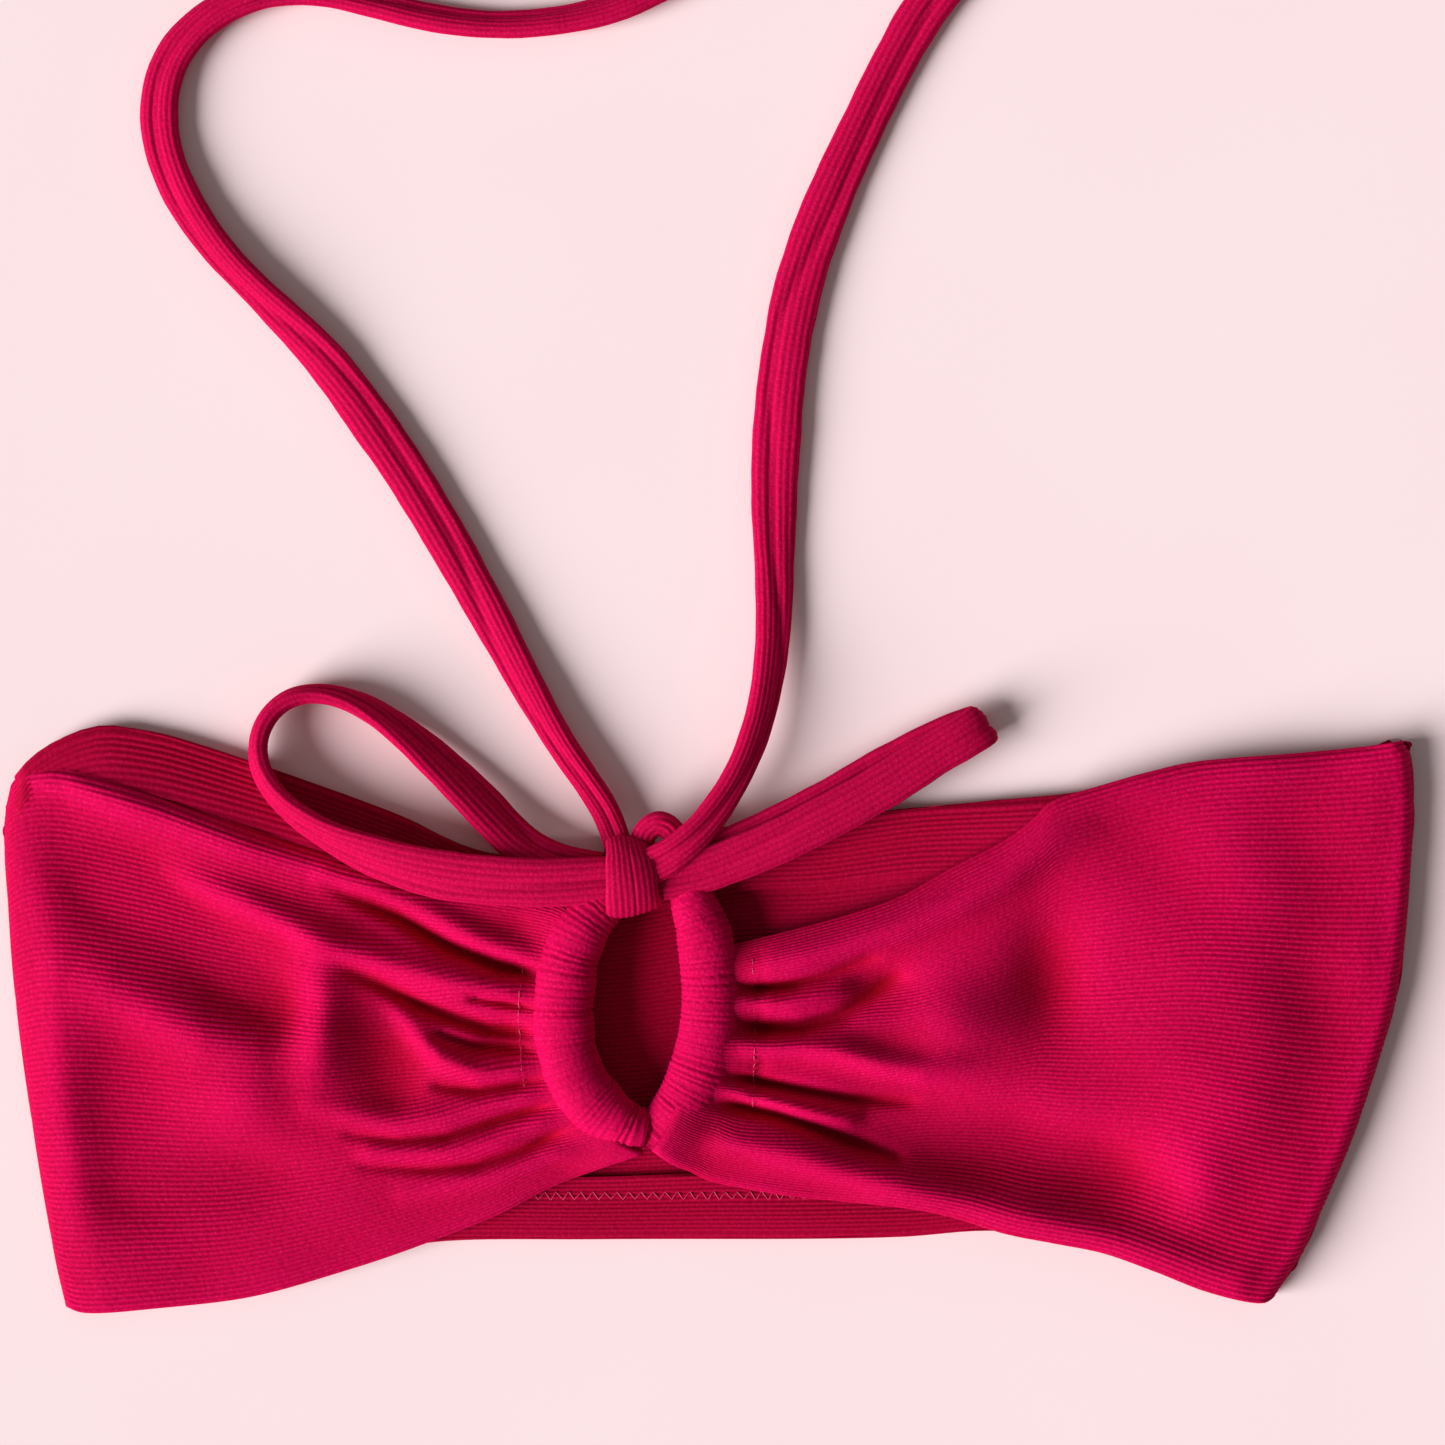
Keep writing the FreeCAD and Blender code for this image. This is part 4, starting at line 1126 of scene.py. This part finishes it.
def strap_piece(name, route, lie, start, fineness, node):
    """A run of the flat ribbed strap, the free cord that it is."""
    sizes = bpy.context.scene.halter_sizes
    wide, deep = sizes.strap / MM, sizes.strap_depth / MM
    route = [(*place, STRAP_ON_FLOOR)[:3] for place in route]
    places = spline_places(route, fineness)
    shape = [(share, wide * part, deep * (2 - part) ** 0.8, roll) for share, part, roll in lie]
    piece = ribbon(name, places, shape, 2 * sizes.strap_ribs, 64, start, 0.8, 0.035, 9, groove=0.7)
    ribbed(piece, "polyamide_strap_knit", node, 0.6)


class HALTER_OT_bow(bpy.types.Operator):
    """Tie the bow: two flat loops, the wrap over them and the turn behind it"""

    bl_idname = "halter.bow"
    bl_label = "Make the Bow"

    def execute(self, context):
        strap_piece("bow_left", LEFT_LOOP_ROUTE, LEFT_LOOP_LIE, (0, 1, 0), 6, "bow_loop_left")
        strap_piece("bow_right", RIGHT_LOOP_ROUTE, RIGHT_LOOP_LIE, (0, -1, 0), 8, "bow_loop_right")
        angle = np.linspace(0, 2 * math.pi, 97)
        round_wrap = np.column_stack([
            -19.6 - 1.1 * np.cos(angle) + 0.7 * np.sin(angle), 36.4 + 8.2 * np.cos(angle),
            10.4 + 5.6 * np.sin(angle),
        ])
        swell = [(0, 9.4, 3.4, 0), (0.14, 11.6, 3.6, 0), (0.3, 13.6, 3.8, 0), (0.5, 13.8, 3.6, 0),
                 (0.75, 11, 3.4, 0), (1, 9.4, 3.4, 0)]
        wrap = ribbon("bow_wrap", round_wrap, swell, 20, 72, (1, 0, 0), 1.0, 0.05, 4, True)
        ribbed(wrap, "polyamide_strap_knit", "bow_knot", 0.8)
        turn = [(-17, 42, 8.6), (-15.6, 47, 10), (-12.2, 49.2, 10.4), (-8.8, 47.2, 9.6), (-7.4, 42, 8)]
        back = ribbon(
            "bow_back_turn", curve_through(turn, 60), [(0, 5.6, 5, 0), (0.5, 6, 5.6, 0), (1, 5.6, 5, 0)],
            12, 56, None, 0.9, 0.05, 6,
        )
        ribbed(back, "polyamide_strap_knit", "knot_back_turn")
        return {"FINISHED"}


class HALTER_OT_strap(bpy.types.Operator):
    """Lay the halter strap from the bow, round over the neck and back"""

    bl_idname = "halter.strap"
    bl_label = "Make the Neck Strap"

    def execute(self, context):
        strap_piece("neck_strap", HALTER_ROUTE, HALTER_LIE, None, 6, "halter_strap")
        return {"FINISHED"}


class HALTER_OT_side_seams(bpy.types.Operator):
    """Give the seam allowances inside the side folds their overlocked thread"""

    bl_idname = "halter.side_seams"
    bl_label = "Finish the Side Seams"

    def execute(self, context):
        for side in ("left", "right"):
            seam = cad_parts[f"side_seam_{side}"]
            seam = seam if isinstance(seam, bpy.types.Object) else bpy.data.objects[f"side_seam_{side}"]
            seam.data.materials.clear()
            seam.data.materials.append(material_named("polyester_thread"))
        return {"FINISHED"}


# The view in metres, the lens in millimetres, and the light: where it comes from, its spread in degrees.
VIEW_MIDDLE, VIEW_WIDTH = (0.0035, 0.07425), 0.36125
LENS, SENSOR = 100, 36
FLOOR_HALF, FLOOR_LEVEL = 6.0, -0.0002
SUN_FROM, SUN_STRENGTH, SUN_SPREAD = (-1.0, -0.45, 0.58), 5.6, 38
SKY, SKY_STRENGTH = (1.0, 0.96, 0.93, 1), 0.18


class HALTER_OT_stage(bpy.types.Operator):
    """Set out the paper floor, the camera overhead and one broad soft light"""

    bl_idname = "halter.stage"
    bl_label = "Set the Stage"

    def execute(self, context):
        scene = context.scene
        mesh = bpy.data.meshes.new("floor")
        signs = ((-1, -1), (1, -1), (1, 1), (-1, 1))
        corners = [(x * FLOOR_HALF, y * FLOOR_HALF, FLOOR_LEVEL) for x, y in signs]
        mesh.from_pydata(corners, [], [(0, 1, 2, 3)])
        mesh.materials.append(material_named("background_paper"))
        linked("floor", mesh)
        lens = bpy.data.cameras.new("overhead")
        lens.lens = LENS
        lens.sensor_width = SENSOR
        lens.clip_end = 20
        camera = linked("overhead", lens)
        camera.location = (*VIEW_MIDDLE, VIEW_WIDTH * LENS / SENSOR)
        scene.camera = camera
        sun = bpy.data.lights.new("window", "SUN")
        sun.energy = SUN_STRENGTH
        sun.angle = math.radians(SUN_SPREAD)
        linked("window", sun).rotation_euler = direction_to(SUN_FROM)
        world = bpy.data.worlds.new("studio")
        world.use_nodes = True
        sky = world.node_tree.nodes["Background"].inputs
        sky["Color"].default_value = SKY
        sky["Strength"].default_value = SKY_STRENGTH
        scene.world = world
        scene.view_settings.view_transform = "Standard"
        return {"FINISHED"}


def direction_to(towards):
    """The turn that makes a sun shine from a direction."""
    x, y, z = unit(np.array(towards))
    return (0.0, math.acos(z), math.atan2(y, x))


STEPS = (
    HALTER_OT_back, HALTER_OT_fronts, HALTER_OT_keyhole, HALTER_OT_bow, HALTER_OT_strap,
    HALTER_OT_side_seams, HALTER_OT_stage,
)


class HALTER_PT_panel(bpy.types.Panel):
    """Sizes, colours and the steps that build the garment"""

    bl_idname = "HALTER_PT_panel"
    bl_label = "Halter Top"
    bl_space_type = "VIEW_3D"
    bl_region_type = "UI"
    bl_category = "Halter Top"

    def draw(self, context):
        for group in (context.scene.halter_sizes, context.scene.halter_colours):
            box = self.layout.box()
            for name in group.__annotations__:
                box.prop(group, name)
        for step in STEPS:
            self.layout.operator(step.bl_idname)


def register():
    for group in (HalterSizes, HalterColours, *STEPS, HALTER_PT_panel):
        bpy.utils.register_class(group)
    bpy.types.Scene.halter_sizes = PointerProperty(type=HalterSizes)
    bpy.types.Scene.halter_colours = PointerProperty(type=HalterColours)


def unregister():
    del bpy.types.Scene.halter_colours
    del bpy.types.Scene.halter_sizes
    for group in (HALTER_PT_panel, *reversed(STEPS), HalterColours, HalterSizes):
        bpy.utils.unregister_class(group)


def main():
    register()
    bpy.ops.halter.back()
    bpy.ops.halter.fronts()
    bpy.ops.halter.keyhole()
    bpy.ops.halter.bow()
    bpy.ops.halter.strap()
    bpy.ops.halter.side_seams()
    bpy.ops.halter.stage()


if __name__ == "__main__":
    main()
